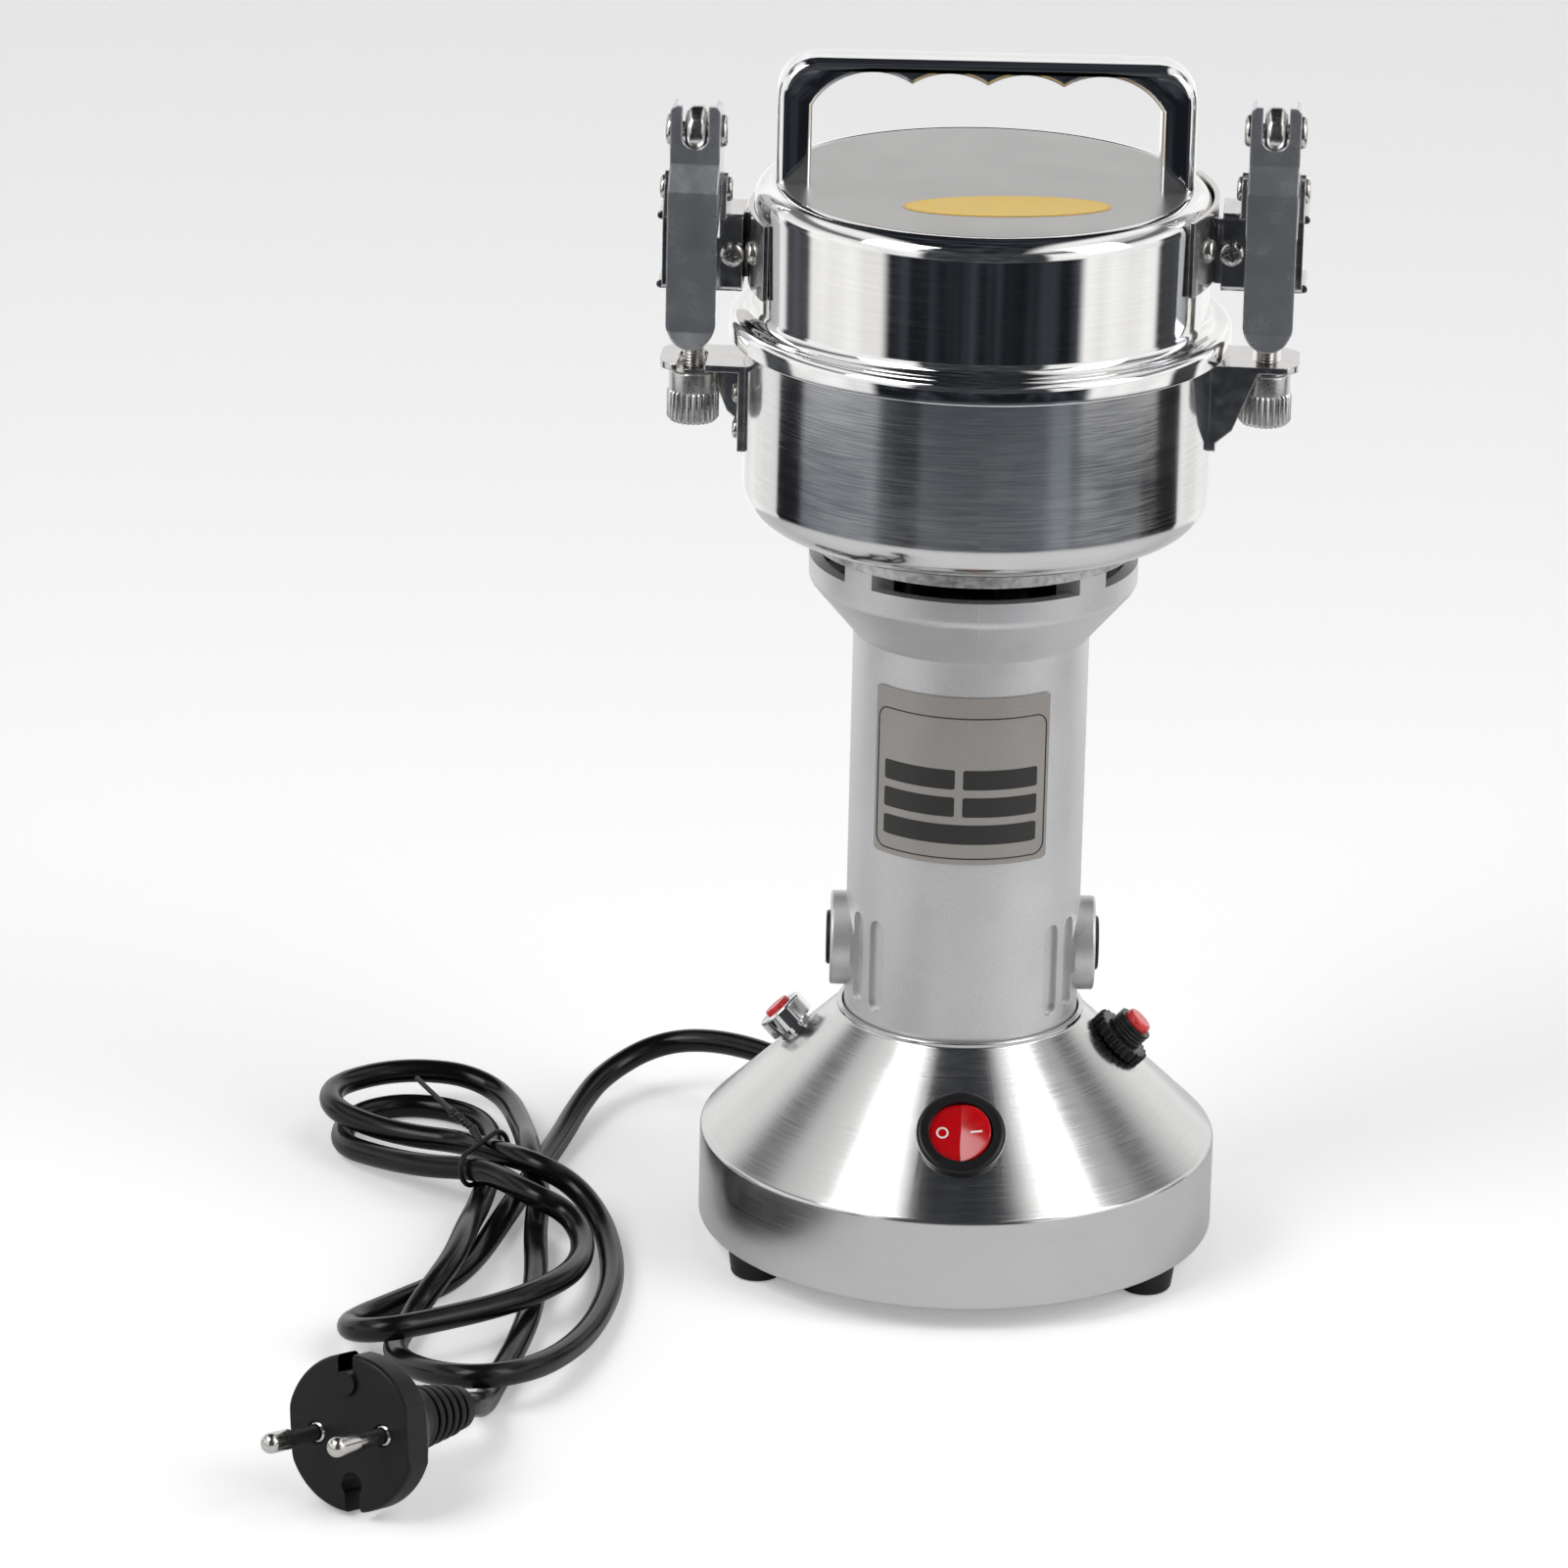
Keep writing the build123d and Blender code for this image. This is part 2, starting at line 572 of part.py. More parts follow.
def make_housing():
    """Cast motor column with its collar, the bearing bracket above and their screws."""
    outer = spun_rounded(
        [(0, SKIRT_Z), (COLUMN_R, SKIRT_Z), (COLUMN_R, COLLAR_LOW), (COLLAR_R, BAND_LOW), (COLLAR_R, BAND_HIGH)],
        [RIM_ROUND, RIM_ROUND, COLLAR_ROUND])
    inside = spun([
        (0, FLOOR_HIGH), (LOWER_BORE_R, FLOOR_HIGH), (LOWER_BORE_R, STATOR_LOW),
        (BORE_R, STATOR_LOW), (BORE_R, CHAMBER_LOW), (CHAMBER_R, CHAMBER_HIGH),
        (CHAMBER_R, BAND_HIGH + OVERRUN), (0, BAND_HIGH + OVERRUN),
    ])
    housing = outer - inside
    housing -= column(LOWER_BORE_R, SKIRT_Z - OVERRUN, FLOOR_LOW)
    post = block((POST_IN_R, -POST_W / 2, POST_LOW), (COLLAR_R + OVERRUN, POST_W / 2, WINDOW_HIGH))
    limit = outer + column(COLLAR_R, BAND_HIGH, WINDOW_HIGH)
    for piece in around(post, POST_AZIMUTHS):
        housing += piece & limit
    housing += column(LOWER_BEARING_R + BEARING_BOSS_WALL, FLOOR_HIGH - OVERRUN, LOWER_BEARING_HIGH)
    housing -= column(LOWER_BEARING_R, LOWER_BEARING_LOW, LOWER_BEARING_HIGH + OVERRUN)
    housing -= column(SHAFT_HOLE_R, FLOOR_LOW - OVERRUN, LOWER_BEARING_HIGH)
    for side in (1, -1):
        boss = rod_x(BOSS_R, BORE_R + OVERRUN, BOSS_FACE)
        boss = fillet(boss.edges().sort_by(Axis.X)[-1], RIM_ROUND)
        housing += Rot(0, 0, 90 - 90 * side) * Pos(0, 0, BRUSH_Z) * boss
        bore = rod_x(HOLDER_R, LOWER_BORE_R - 2 * OVERRUN, BOSS_FACE)
        bore += rod_x(CAP_R, CAP_IN, BOSS_FACE + OVERRUN)
        housing -= Rot(0, 0, 90 - 90 * side) * Pos(0, 0, BRUSH_Z) * bore
    half = SLOT_W / 2
    slot = block((COLUMN_R - SLOT_DEPTH, -half, SLOT_LOW + half),
                 (COLUMN_R + OVERRUN, half, SLOT_HIGH - half))
    slot += Pos(0, 0, SLOT_LOW + half) * rod_x(half, COLUMN_R - SLOT_DEPTH, COLUMN_R + OVERRUN)
    slot += Pos(0, 0, SLOT_HIGH - half) * rod_x(half, COLUMN_R - SLOT_DEPTH, COLUMN_R + OVERRUN)
    for piece in around(slot, SLOT_AZIMUTHS):
        housing -= piece
    under_cone = spun([
        (0, LEG_LOW), (LEG_END_R + SHEET, LEG_LOW),
        (LEG_END_R + SHEET, cone_height(LEG_END_R + SHEET) - UNDER_CONE_SHARE * CONE_DROP),
        (COLUMN_R, cone_height(COLUMN_R) - UNDER_CONE_SHARE * CONE_DROP), (0, cone_height(COLUMN_R)),
    ])
    leg = block((LOWER_BORE_R, -LEG_W / 2, LEG_LOW), (LEG_END_R, LEG_W / 2, NECK_Z))
    hole = Pos(LEG_R, 0, LEG_LOW - OVERRUN) * Cylinder(STUD_HOLE_R, NECK_Z - LEG_LOW, align=BASE_ALIGN)
    for turn in LEG_AZIMUTHS:
        housing += Rot(0, 0, turn) * leg & under_cone
        housing -= Rot(0, 0, turn) * hole
    vent = Pos(VENT_RING_R, 0, FLOOR_LOW - OVERRUN) * Cylinder(
        VENT_R, FLOOR_HIGH - FLOOR_LOW + 2 * OVERRUN, align=BASE_ALIGN)
    for k in range(VENT_COUNT):
        housing -= Rot(0, 0, (k + 1 / 2) * 360 / VENT_COUNT) * vent
    tapped = Pos(BRACKET_SCREW_RING, 0, M3_LOW) * Cylinder(M3_R, WINDOW_HIGH, align=BASE_ALIGN)
    for piece in around(tapped, POST_AZIMUTHS):
        housing -= piece
    above = column(COLLAR_R + OVERRUN, COLLAR_LOW, BRACKET_HIGH)
    save("motor_housing", housing - above)
    save("collar_ring", housing & above)

    nut = extrude(RegularPolygon(STUD_NUT_FLATS / math.sqrt(3), 6), STUD_NUT_H)
    nut -= Pos(0, 0, -OVERRUN) * Cylinder(STUD_R, STUD_NUT_H + 2 * OVERRUN, align=BASE_ALIGN)
    save("housing_nuts", around(Pos(LEG_R, 0, LEG_LOW - STUD_NUT_H) * nut, LEG_AZIMUTHS))

    bracket = column(COLLAR_R, WINDOW_HIGH, BRACKET_HIGH)
    bracket += column(BRACKET_BOSS_R, UPPER_BEARING_LOW, WINDOW_HIGH)
    bracket += column(SEAL_BOSS_R, BRACKET_HIGH, SEAL_BOSS_TOP)
    bracket -= column(UPPER_BEARING_R, UPPER_BEARING_LOW - OVERRUN, UPPER_BEARING_HIGH)
    bracket -= column(SHAFT_HOLE_R, UPPER_BEARING_HIGH - OVERRUN, SEAL_BOSS_TOP + OVERRUN)
    bracket -= column(SEAL_R, BRACKET_HIGH, SEAL_BOSS_TOP + OVERRUN)
    screw_hole = column(M3_R + RUNNING_GAP, WINDOW_HIGH - OVERRUN, M3_HEAD_LOW)
    screw_hole += column(M3_HEAD_R + RUNNING_GAP, M3_HEAD_LOW, BRACKET_HIGH + OVERRUN)
    for piece in around(Pos(BRACKET_SCREW_RING, 0, 0) * screw_hole, POST_AZIMUTHS):
        bracket -= piece
    bowl_tap = column(M4_R, BOWL_SCREW_LOW, BRACKET_HIGH + OVERRUN)
    for k in range(BOWL_SCREW_COUNT):
        bracket -= Rot(0, 0, k * 360 / BOWL_SCREW_COUNT) * Pos(BOWL_SCREW_RING, 0, 0) * bowl_tap
    save("top_bracket", bracket)
    screw = column(M3_HEAD_R, M3_HEAD_LOW, M3_HEAD_HIGH) + column(M3_R, M3_LOW, M3_HEAD_LOW)
    save("bracket_screws", around(Pos(BRACKET_SCREW_RING, 0, 0) * screw, POST_AZIMUTHS))
    save("bearings", [column(UPPER_BEARING_R, UPPER_BEARING_LOW, UPPER_BEARING_HIGH, SHAFT_R),
                      column(LOWER_BEARING_R, LOWER_BEARING_LOW, LOWER_BEARING_HIGH, SHAFT_THIN_R)])
    save("shaft_seal", column(SEAL_R, BRACKET_HIGH, SEAL_TOP, SHAFT_R + RUNNING_GAP))


def make_motor():
    """Stator, brushes and everything that turns."""
    save("stator_core", column(BORE_R, STATOR_LOW, STATOR_HIGH, STATOR_IN_R))
    low = column(WINDING_OUT_R, STATOR_LOW - WINDING_GAP - WINDING_H, STATOR_LOW - WINDING_GAP, WINDING_IN_R)
    high_z = STATOR_HIGH + WINDING_GAP
    high = column(WINDING_OUT_R, high_z, high_z + WINDING_H, WINDING_IN_R)
    low = fillet(low.edges().group_by(Axis.Z)[0], WINDING_ROUND)
    high = fillet(high.edges().group_by(Axis.Z)[-1], WINDING_ROUND)
    save("field_windings", [low, high])
    turns = (0, 180)
    holder = rod_x(HOLDER_R, HOLDER_IN, CAP_IN) - rod_x(HOLDER_TUBE_R, HOLDER_IN - OVERRUN, CAP_IN + OVERRUN)
    save("brush_holders", around(Pos(0, 0, BRUSH_Z) * holder, turns))
    brush = rod_x(BRUSH_R, COMMUTATOR_R / 2, BRUSH_OUT)
    brush = Pos(0, 0, BRUSH_Z) * brush - column(BRUSH_IN, COMMUTATOR_LOW, COMMUTATOR_HIGH)
    save("carbon_brushes", around(brush, turns))
    cap = rod_x(CAP_R, CAP_IN, CAP_OUT)
    cap = fillet(cap.edges().sort_by(Axis.X)[-1], RIM_ROUND)
    save("brush_caps", around(Pos(0, 0, BRUSH_Z) * cap, turns))

    shaft = column(SHAFT_THIN_R, SHAFT_LOW, SHAFT_STEP) + column(SHAFT_R, SHAFT_STEP, SHAFT_TOP_STEP)
    shaft += column(SHAFT_THIN_R, SHAFT_TOP_STEP, SHAFT_TOP)
    save("rotor_shaft", shaft)
    armature = column(CORE_R, CORE_LOW, CORE_HIGH) + column(COMMUTATOR_R, COMMUTATOR_LOW, COMMUTATOR_HIGH)
    coils = column(COIL_R, COIL_LOW, COIL_HIGH)
    coils = fillet(coils.edges().filter_by(GeomType.CIRCLE), COIL_ROUND)
    armature += coils + column(RISER_R, COMMUTATOR_HIGH, RISER_HIGH)
    armature += column(NECK_COIL_R, COMMUTATOR_HIGH, COIL_LOW + OVERRUN)
    armature -= column(SHAFT_R, SHAFT_LOW, SHAFT_TOP)
    save("armature", armature)
    disc_top = FAN_DISC_LOW + FAN_DISC_T
    fan = column(FAN_HUB_R, FAN_HUB_LOW, disc_top) + column(FAN_R, FAN_DISC_LOW, disc_top)
    vane = block((FAN_VANE_IN, -FAN_VANE_T / 2, FAN_DISC_LOW),
                 (FAN_R - FAN_VANE_T, FAN_VANE_T / 2, FAN_VANE_TOP))
    for k in range(FAN_VANES):
        fan += Rot(0, 0, k * 360 / FAN_VANES) * vane
    fan -= column(SHAFT_R, FAN_HUB_LOW - OVERRUN, FAN_VANE_TOP)
    save("cooling_fan", fan)

    hub = column(HUB_R, HUB_LOW, SHAFT_TOP_STEP)
    blades = ((BLADE_LOW_R, BLADE_LOW_Z, BLADE_LOW_AZIMUTH, 0),
              (BLADE_HIGH_R, BLADE_HIGH_Z, BLADE_HIGH_AZIMUTH, TIP_RISE))
    for reach, height, turn, rise in blades:
        for side in (0, 180):
            flat_end = TIP_FLAT_R if rise else reach
            outline = Polyline((0, -BLADE_W / 2), (flat_end, -BLADE_TIP_W / 2), (flat_end, BLADE_TIP_W / 2),
                               (0, BLADE_W / 2), close=True)
            arm = Pos(0, 0, height) * extrude(make_face(outline), BLADE_T)
            if rise:
                tip = block((0, -BLADE_TIP_W / 2, 0), (reach - TIP_FLAT_R, BLADE_TIP_W / 2, BLADE_T))
                arm += Pos(TIP_FLAT_R - BLADE_T / 2, 0, height) * Rot(0, -rise, 0) * tip
            hub += Rot(0, 0, turn + side) * arm
    hub -= column(SHAFT_R, HUB_LOW - OVERRUN, SHAFT_TOP)
    save("blades", hub)
    nut = Pos(0, 0, SHAFT_TOP_STEP) * extrude(RegularPolygon(BLADE_NUT_FLATS / math.sqrt(3), 6), BLADE_NUT_H)
    crown = SHAFT_TOP_STEP + BLADE_NUT_H
    dome = Pos(0, 0, crown) * Sphere(BLADE_DOME_R)
    dome &= column(BLADE_DOME_R, crown - OVERRUN, crown + BLADE_DOME_R)
    nut = nut + dome - column(SHAFT_THIN_R, SHAFT_TOP_STEP - OVERRUN, SHAFT_TOP)
    save("blade_nut", nut)


def clamp_frame(side):
    """Frame of one clamp: X outward from the axis, Y to the back, origin on the axis."""
    return Rot(0, 0, CLAMP_TURN) * (Pos(0, 0, 0) if side == "right" else Rot(0, 0, 180))


def make_bowl():
    """Grinding bowl with its screws, ear brackets and rivets."""
    bowl = column(BOWL_R, BOWL_LOW, BOWL_TOP)
    bowl = fillet(bowl.edges().sort_by(Axis.Z)[0], BOWL_ROUND)
    hollow = column(BOWL_R - BOWL_T, BOWL_LOW + BOWL_T, BOWL_TOP + OVERRUN)
    hollow = fillet(hollow.edges().sort_by(Axis.Z)[0], BOWL_ROUND - BOWL_T)
    bowl += column(BOWL_FLANGE_R, BOWL_TOP - BOWL_FLANGE_T, BOWL_TOP)
    bowl -= hollow
    bowl -= column(SEAL_BOSS_R, BOWL_LOW - OVERRUN, SEAL_BOSS_TOP)
    screw_hole = Pos(BOWL_SCREW_RING, 0, 0) * column(M4_R, BOWL_LOW - OVERRUN, BOWL_LOW + BOWL_T + OVERRUN)
    for k in range(BOWL_SCREW_COUNT):
        bowl -= Rot(0, 0, k * 360 / BOWL_SCREW_COUNT) * screw_hole
    rivets = []
    for side, rise in CLAMP_RISE.items():
        frame = clamp_frame(side)
        ear_top = EAR_TOP_Z + rise
        bracket = column(BOWL_R + BRACKET_T, ear_top - BRACKET_FALL, ear_top)
        bracket &= block((BOWL_R / 2, -BRACKET_HALF, 0), (BOWL_R + 2 * BRACKET_T, BRACKET_HALF, ear_top))
        ear = block((BOWL_R + BRACKET_T / 2, -BRACKET_HALF, ear_top - BRACKET_T),
                    (EAR_OUT, BRACKET_HALF, ear_top))
        corners = ear.edges().filter_by(Axis.Z).sort_by(Axis.X)[-2:]
        ear = fillet(corners, EAR_ROUND)
        end = EAR_SLOT_END + EAR_SLOT_W / 2
        slot = block((CLAMP_R - EAR_SLOT_W / 2, end, ear_top - 2 * BRACKET_T),
                     (CLAMP_R + EAR_SLOT_W / 2, BRACKET_HALF + OVERRUN, ear_top + OVERRUN))
        slot += Pos(CLAMP_R, end, 0) * column(EAR_SLOT_W / 2, ear_top - 2 * BRACKET_T, ear_top + OVERRUN)
        gusset_in = BOWL_R - BRACKET_T
        gusset = Polyline((gusset_in, ear_top - BRACKET_T / 2), (GUSSET_TOP, ear_top - BRACKET_T / 2),
                          (GUSSET_MID, ear_top - GUSSET_FALL), (gusset_in, ear_top - GUSSET_END), close=True)
        gusset = Pos(0, -BRACKET_HALF + BRACKET_T, 0) * extrude(Plane.XZ * make_face(gusset), BRACKET_T)
        bracket = bracket + ear + gusset - slot - column(BOWL_R, 0, ear_top + OVERRUN)
        wall_in = math.sqrt((BOWL_R - BOWL_T) ** 2 - RIVET_HEAD_R ** 2)
        outer_face = BOWL_R + BRACKET_T
        for fall in BRACKET_RIVET_FALLS:
            at = Pos(0, 0, ear_top - fall)
            hole = at * rod_x(BRACKET_RIVET_R, wall_in - OVERRUN, outer_face + OVERRUN)
            bracket -= hole
            bowl -= frame * hole
            rivet = rod_x(BRACKET_RIVET_R, wall_in, outer_face)
            rivet += rod_x(RIVET_HEAD_R, wall_in - RIVET_INNER_T, wall_in)
            rivet += Pos(outer_face, 0, 0) * Rot(0, 90, 0) * domed(RIVET_HEAD_R, RIVET_HEAD_T)
            rivets.append(frame * at * rivet)
        save(f"bowl_bracket_{side}", frame * bracket)
    save("bowl", bowl)
    save("bracket_rivets", rivets)
    head_low = BOWL_LOW + BOWL_T
    screw = Pos(0, 0, head_low) * domed(M4_HEAD_R, M4_HEAD_H) + column(M4_R, BOWL_SCREW_LOW, head_low)
    turns = [k * 360 / BOWL_SCREW_COUNT for k in range(BOWL_SCREW_COUNT)]
    save("bowl_screws", around(Pos(BOWL_SCREW_RING, 0, 0) * screw, turns))


def make_lid():
    """Lid shell, gasket, arch handle and its screws."""
    outer = spun_rounded(
        [(0, LID_TOP), (LID_R, LID_TOP), (LID_FOOT_R, FLARE_Z), (FLANGE_R, FLARE_Z), (FLANGE_R, FLANGE_LOW)],
        [LID_ROUND, FLARE_ROUND, FLANGE_ROUND])
    inner_flare = FLARE_Z - LID_T
    inner = spun([(0, FLANGE_LOW - OVERRUN), (FLANGE_R - LID_T, FLANGE_LOW - OVERRUN),
                  (FLANGE_R - LID_T, inner_flare), (0, inner_flare)])
    inner += spun_rounded(
        [(0, LID_TOP - LID_T), (LID_R - LID_T, LID_TOP - LID_T),
         (LID_FOOT_R - LID_T, inner_flare - OVERRUN)],
        [LID_ROUND - LID_T])
    lid = outer - inner
    leg_x = HANDLE_HALF - HANDLE_LEG / 2
    for side in (1, -1):
        lid -= Pos(side * leg_x, 0, 0) * column(M4_R, LID_TOP - 2 * LID_T, LID_TOP + OVERRUN)
    rivets = []
    for side, rise in CLAMP_RISE.items():
        frame = clamp_frame(side)
        pivot = Pos(0, 0, PIVOT_Z + rise)
        out = LID_R + SADDLE_T
        saddle = column(out, SADDLE_LOW, SADDLE_HIGH, LID_R)
        wedge = Polyline((0, 0), (out * 2, -out * 2 * math.tan(math.radians(SADDLE_HALF))),
                         (out * 2, out * 2 * math.tan(math.radians(SADDLE_HALF))), close=True)
        saddle &= Pos(0, 0, SADDLE_LOW) * extrude(make_face(wedge), SADDLE_HIGH - SADDLE_LOW)
        box_wall = CLAMP_R - PLATE_IN - SIDE_T
        front = BASE_FRONT + SIDE_T + RUNNING_GAP
        saddle += block((LID_R + SADDLE_T / 2, front, BASE_LOW + SIDE_T + RUNNING_GAP),
                        (box_wall - RUNNING_GAP, front + TONGUE_T, BASE_HIGH - SIDE_T - RUNNING_GAP))
        saddle -= column(LID_R, SADDLE_LOW - 2 * SIDE_T, SADDLE_HIGH)
        tongue_hole = Pos(CLAMP_R + SCREW_OFFSET, 0, SCREW_Z) * rod_y(SCREW_R, BASE_FRONT, SCREW_END)
        saddle -= tongue_hole
        wall_in = LID_FOOT_R - LID_T - RIVET_INNER_T
        height = (SADDLE_LOW + SADDLE_HIGH) / 2
        for turn in (SADDLE_RIVET_TURN, -SADDLE_RIVET_TURN):
            at = Rot(0, 0, turn) * Pos(0, 0, height)
            hole = at * rod_x(RIVET_R, wall_in - OVERRUN, out + OVERRUN)
            saddle -= hole
            lid -= frame * pivot * hole
            rivet = rod_x(RIVET_R, wall_in, out) + rod_x(RIVET_HEAD_R, wall_in - RIVET_INNER_T, wall_in)
            rivet += Pos(out, 0, 0) * Rot(0, 90, 0) * domed(RIVET_HEAD_R, RIVET_HEAD_T)
            rivets.append(frame * pivot * at * rivet)
        save(f"lid_saddle_{side}", frame * pivot * saddle)
    save("lid_shell", lid)
    save("saddle_rivets", rivets)
    save("lid_gasket", column(BOWL_FLANGE_R, BOWL_TOP + GASKET_GAP, inner_flare - GASKET_GAP, GASKET_IN))

    inner_x = HANDLE_HALF - HANDLE_LEG
    arch = FilletPolyline((-HANDLE_HALF, LID_TOP), (-HANDLE_HALF, HANDLE_TOP), (HANDLE_HALF, HANDLE_TOP),
                          (HANDLE_HALF, LID_TOP), radius=[HANDLE_CORNER, HANDLE_CORNER])
    ridge = GRIP_RIDGE_X
    grip = Polyline((HANDLE_HALF, LID_TOP), (inner_x, LID_TOP), (inner_x, GRIP_FOOT_Z))
    grip += ThreePointArc((inner_x, GRIP_FOOT_Z), (GRIP_END_X, GRIP_CREST_Z), (ridge, GRIP_RIDGE_Z))
    grip += ThreePointArc((ridge, GRIP_RIDGE_Z), (ridge / 2, GRIP_CREST_Z), (0, GRIP_RIDGE_Z))
    grip += ThreePointArc((0, GRIP_RIDGE_Z), (-ridge / 2, GRIP_CREST_Z), (-ridge, GRIP_RIDGE_Z))
    grip += ThreePointArc((-ridge, GRIP_RIDGE_Z), (-GRIP_END_X, GRIP_CREST_Z), (-inner_x, GRIP_FOOT_Z))
    grip += Polyline((-inner_x, GRIP_FOOT_Z), (-inner_x, LID_TOP), (-HANDLE_HALF, LID_TOP))
    handle = Pos(0, HANDLE_DEPTH / 2, 0) * extrude(Plane.XZ * make_face(arch + grip), HANDLE_DEPTH)
    long_edges = [e for e in handle.edges()
                  if abs(abs(e.center().Y) - HANDLE_DEPTH / 2) < RUNNING_GAP
                  and e.center().Z > LID_TOP + OVERRUN
                  and (abs(e.center().X) > inner_x + OVERRUN or e.center().Z > HANDLE_TOP - OVERRUN)]
    handle = fillet(long_edges, HANDLE_EDGE)
    for side in (1, -1):
        handle -= Pos(side * leg_x, 0, 0) * column(M4_R, LID_TOP - OVERRUN, LID_TOP + HANDLE_SCREW_H)
    save("handle", handle)
    under = LID_TOP - LID_T
    screw = column(M4_R, under, LID_TOP + HANDLE_SCREW_H) + column(M4_HEAD_R, under - M4_HEAD_H, under)
    save("handle_screws", [Pos(side * leg_x, 0, 0) * screw for side in (1, -1)])


def lever_shape():
    """Folded lever with two cheeks and a forked top, about its pivot."""
    half = LEVER_W / 2
    lip_y = WEB_LOW_Y - LIP_OUT
    outline = Polyline(
        (WEB_HIGH_Y, LEVER_TOP), (WEB_HIGH_Y, BEND_HIGH_Z), (WEB_LOW_Y, BEND_LOW_Z), (WEB_LOW_Y, LIP_Z),
        (lip_y, LEVER_LOW), (lip_y + WEB_T, LEVER_LOW), (WEB_LOW_Y + WEB_T, LIP_Z),
        (WEB_LOW_Y + WEB_T, -2 * CHEEK_BACK), (-CHEEK_BACK / 2, -CHEEK_BACK), (CHEEK_BACK / 2, -CHEEK_BACK),
        (CHEEK_BACK, -CHEEK_BACK / 2), (CHEEK_BACK, LEVER_TOP - CHEEK_BACK), (0, LEVER_TOP), close=True)
    body = Pos(-half, 0, 0) * extrude(Plane.YZ * make_face(outline), LEVER_W)
    hollow = Polyline(
        (WEB_HIGH_Y + WEB_T, LEVER_TOP + OVERRUN), (WEB_HIGH_Y + WEB_T, BEND_HIGH_Z + WEB_T / 2),
        (WEB_LOW_Y + WEB_T, BEND_LOW_Z + WEB_T / 2), (WEB_LOW_Y + WEB_T, LIP_Z),
        (CHEEK_BACK + OVERRUN, LIP_Z), (CHEEK_BACK + OVERRUN, LEVER_TOP + OVERRUN), close=True)
    gap = half - LEVER_T
    body -= Pos(-gap, 0, 0) * extrude(Plane.YZ * make_face(hollow), 2 * gap)
    far = 2 * LEVER_W
    end = Pos(0, 0, LEVER_LOW + half) * rod_y(half, -far, far)
    end += block((-half, -far, LEVER_LOW + half), (half, far, LEVER_TOP + OVERRUN))
    body &= end
    edges = [e for e in body.edges().filter_by(Axis.Y) if e.center().Z > LEVER_TOP - RUNNING_GAP
             and abs(e.center().X) > half - RUNNING_GAP]
    body = fillet(edges, FORK_ROUND)
    fork = FORK_W / 2
    slot_z = EYE_RISE
    cut = Pos(0, 0, slot_z) * rod_y(fork, -far, WEB_HIGH_Y + WEB_T)
    cut += block((-fork, -far, slot_z), (fork, WEB_HIGH_Y + WEB_T, LEVER_TOP + OVERRUN))
    body -= cut
    body -= rod_x(PIVOT_R + RUNNING_GAP, -LEVER_W, LEVER_W)
    body -= Pos(0, ROD_Y, EYE_RISE) * rod_x(EYE_PIN_R, -LEVER_W, LEVER_W)
    return body


def eye_pin_shape():
    """Rivet through the lever's fork and the eye."""
    half = LEVER_W / 2
    pin = rod_x(EYE_PIN_R, -half, half)
    pin += Pos(half, 0, 0) * Rot(0, 90, 0) * domed(EYE_HEAD_R, EYE_HEAD_T)
    pin += Pos(-half, 0, 0) * Rot(0, -90, 0) * domed(EYE_HEAD_R, EYE_HEAD_T)
    return pin


def eye_bolt_shape(rod_end):
    """Eye bolt hanging from its pin down to a height below it."""
    eye = rod_x(EYE_R, -EYE_W / 2, EYE_W / 2)
    eye = fillet(eye.edges().filter_by(GeomType.CIRCLE), EYE_ROUND)
    eye += column(ROD_R, rod_end, -EYE_R / 2)
    return eye - rod_x(EYE_PIN_R + RUNNING_GAP, -EYE_W, EYE_W)


def clamp_base_shape():
    """Clamp base about the pivot; X points away from the lid."""
    plate_out = PLATE_IN + SIDE_T
    body = block((BOX_IN, BASE_FRONT, BASE_LOW), (plate_out, BASE_BACK, BASE_HIGH))
    body = fillet(body.edges().filter_by(Axis.X), BASE_ROUND)
    far = 2 * BASE_BACK
    body -= block((-PLATE_IN, BASE_FRONT + SIDE_T, -far - far), (PLATE_IN, far, far))
    body -= block((-PLATE_IN, -far, STRAP_HIGH), (PLATE_IN, far, far))
    body -= block((BOX_IN - OVERRUN, BASE_FRONT + SIDE_T, BASE_LOW + SIDE_T),
                  (-plate_out, BASE_BACK - SIDE_T, BASE_HIGH - SIDE_T))
    lug = Polyline((BASE_FRONT, BASE_HIGH - OVERRUN), (-LUG_R, 0), (LUG_R, 0),
                   (BASE_BACK, BASE_HIGH - OVERRUN), close=True)
    lug = extrude(Plane.YZ * make_face(lug), SIDE_T) + rod_x(LUG_R, 0, SIDE_T)
    lug -= rod_x(PIVOT_R, -OVERRUN, SIDE_T + OVERRUN)
    body += Pos(PLATE_IN, 0, 0) * lug
    body += Pos(-plate_out, 0, 0) * lug
    lip_out = plate_out + LIP_LONG - SIDE_T
    for low in (BASE_HIGH - LIP_T, BASE_LOW):
        lip = block((PLATE_IN, BASE_FRONT + SIDE_T, low), (lip_out, BASE_BACK - SIDE_T, low + LIP_T))
        outer = lip.edges().filter_by(Axis.Y).group_by(Axis.X)[-1]
        body += fillet(outer, LIP_T * LIP_SHARE)
    body -= Pos(SCREW_OFFSET, 0, SCREW_Z) * rod_y(SCREW_R, BASE_FRONT - OVERRUN, BASE_FRONT + 2 * SIDE_T)
    return body


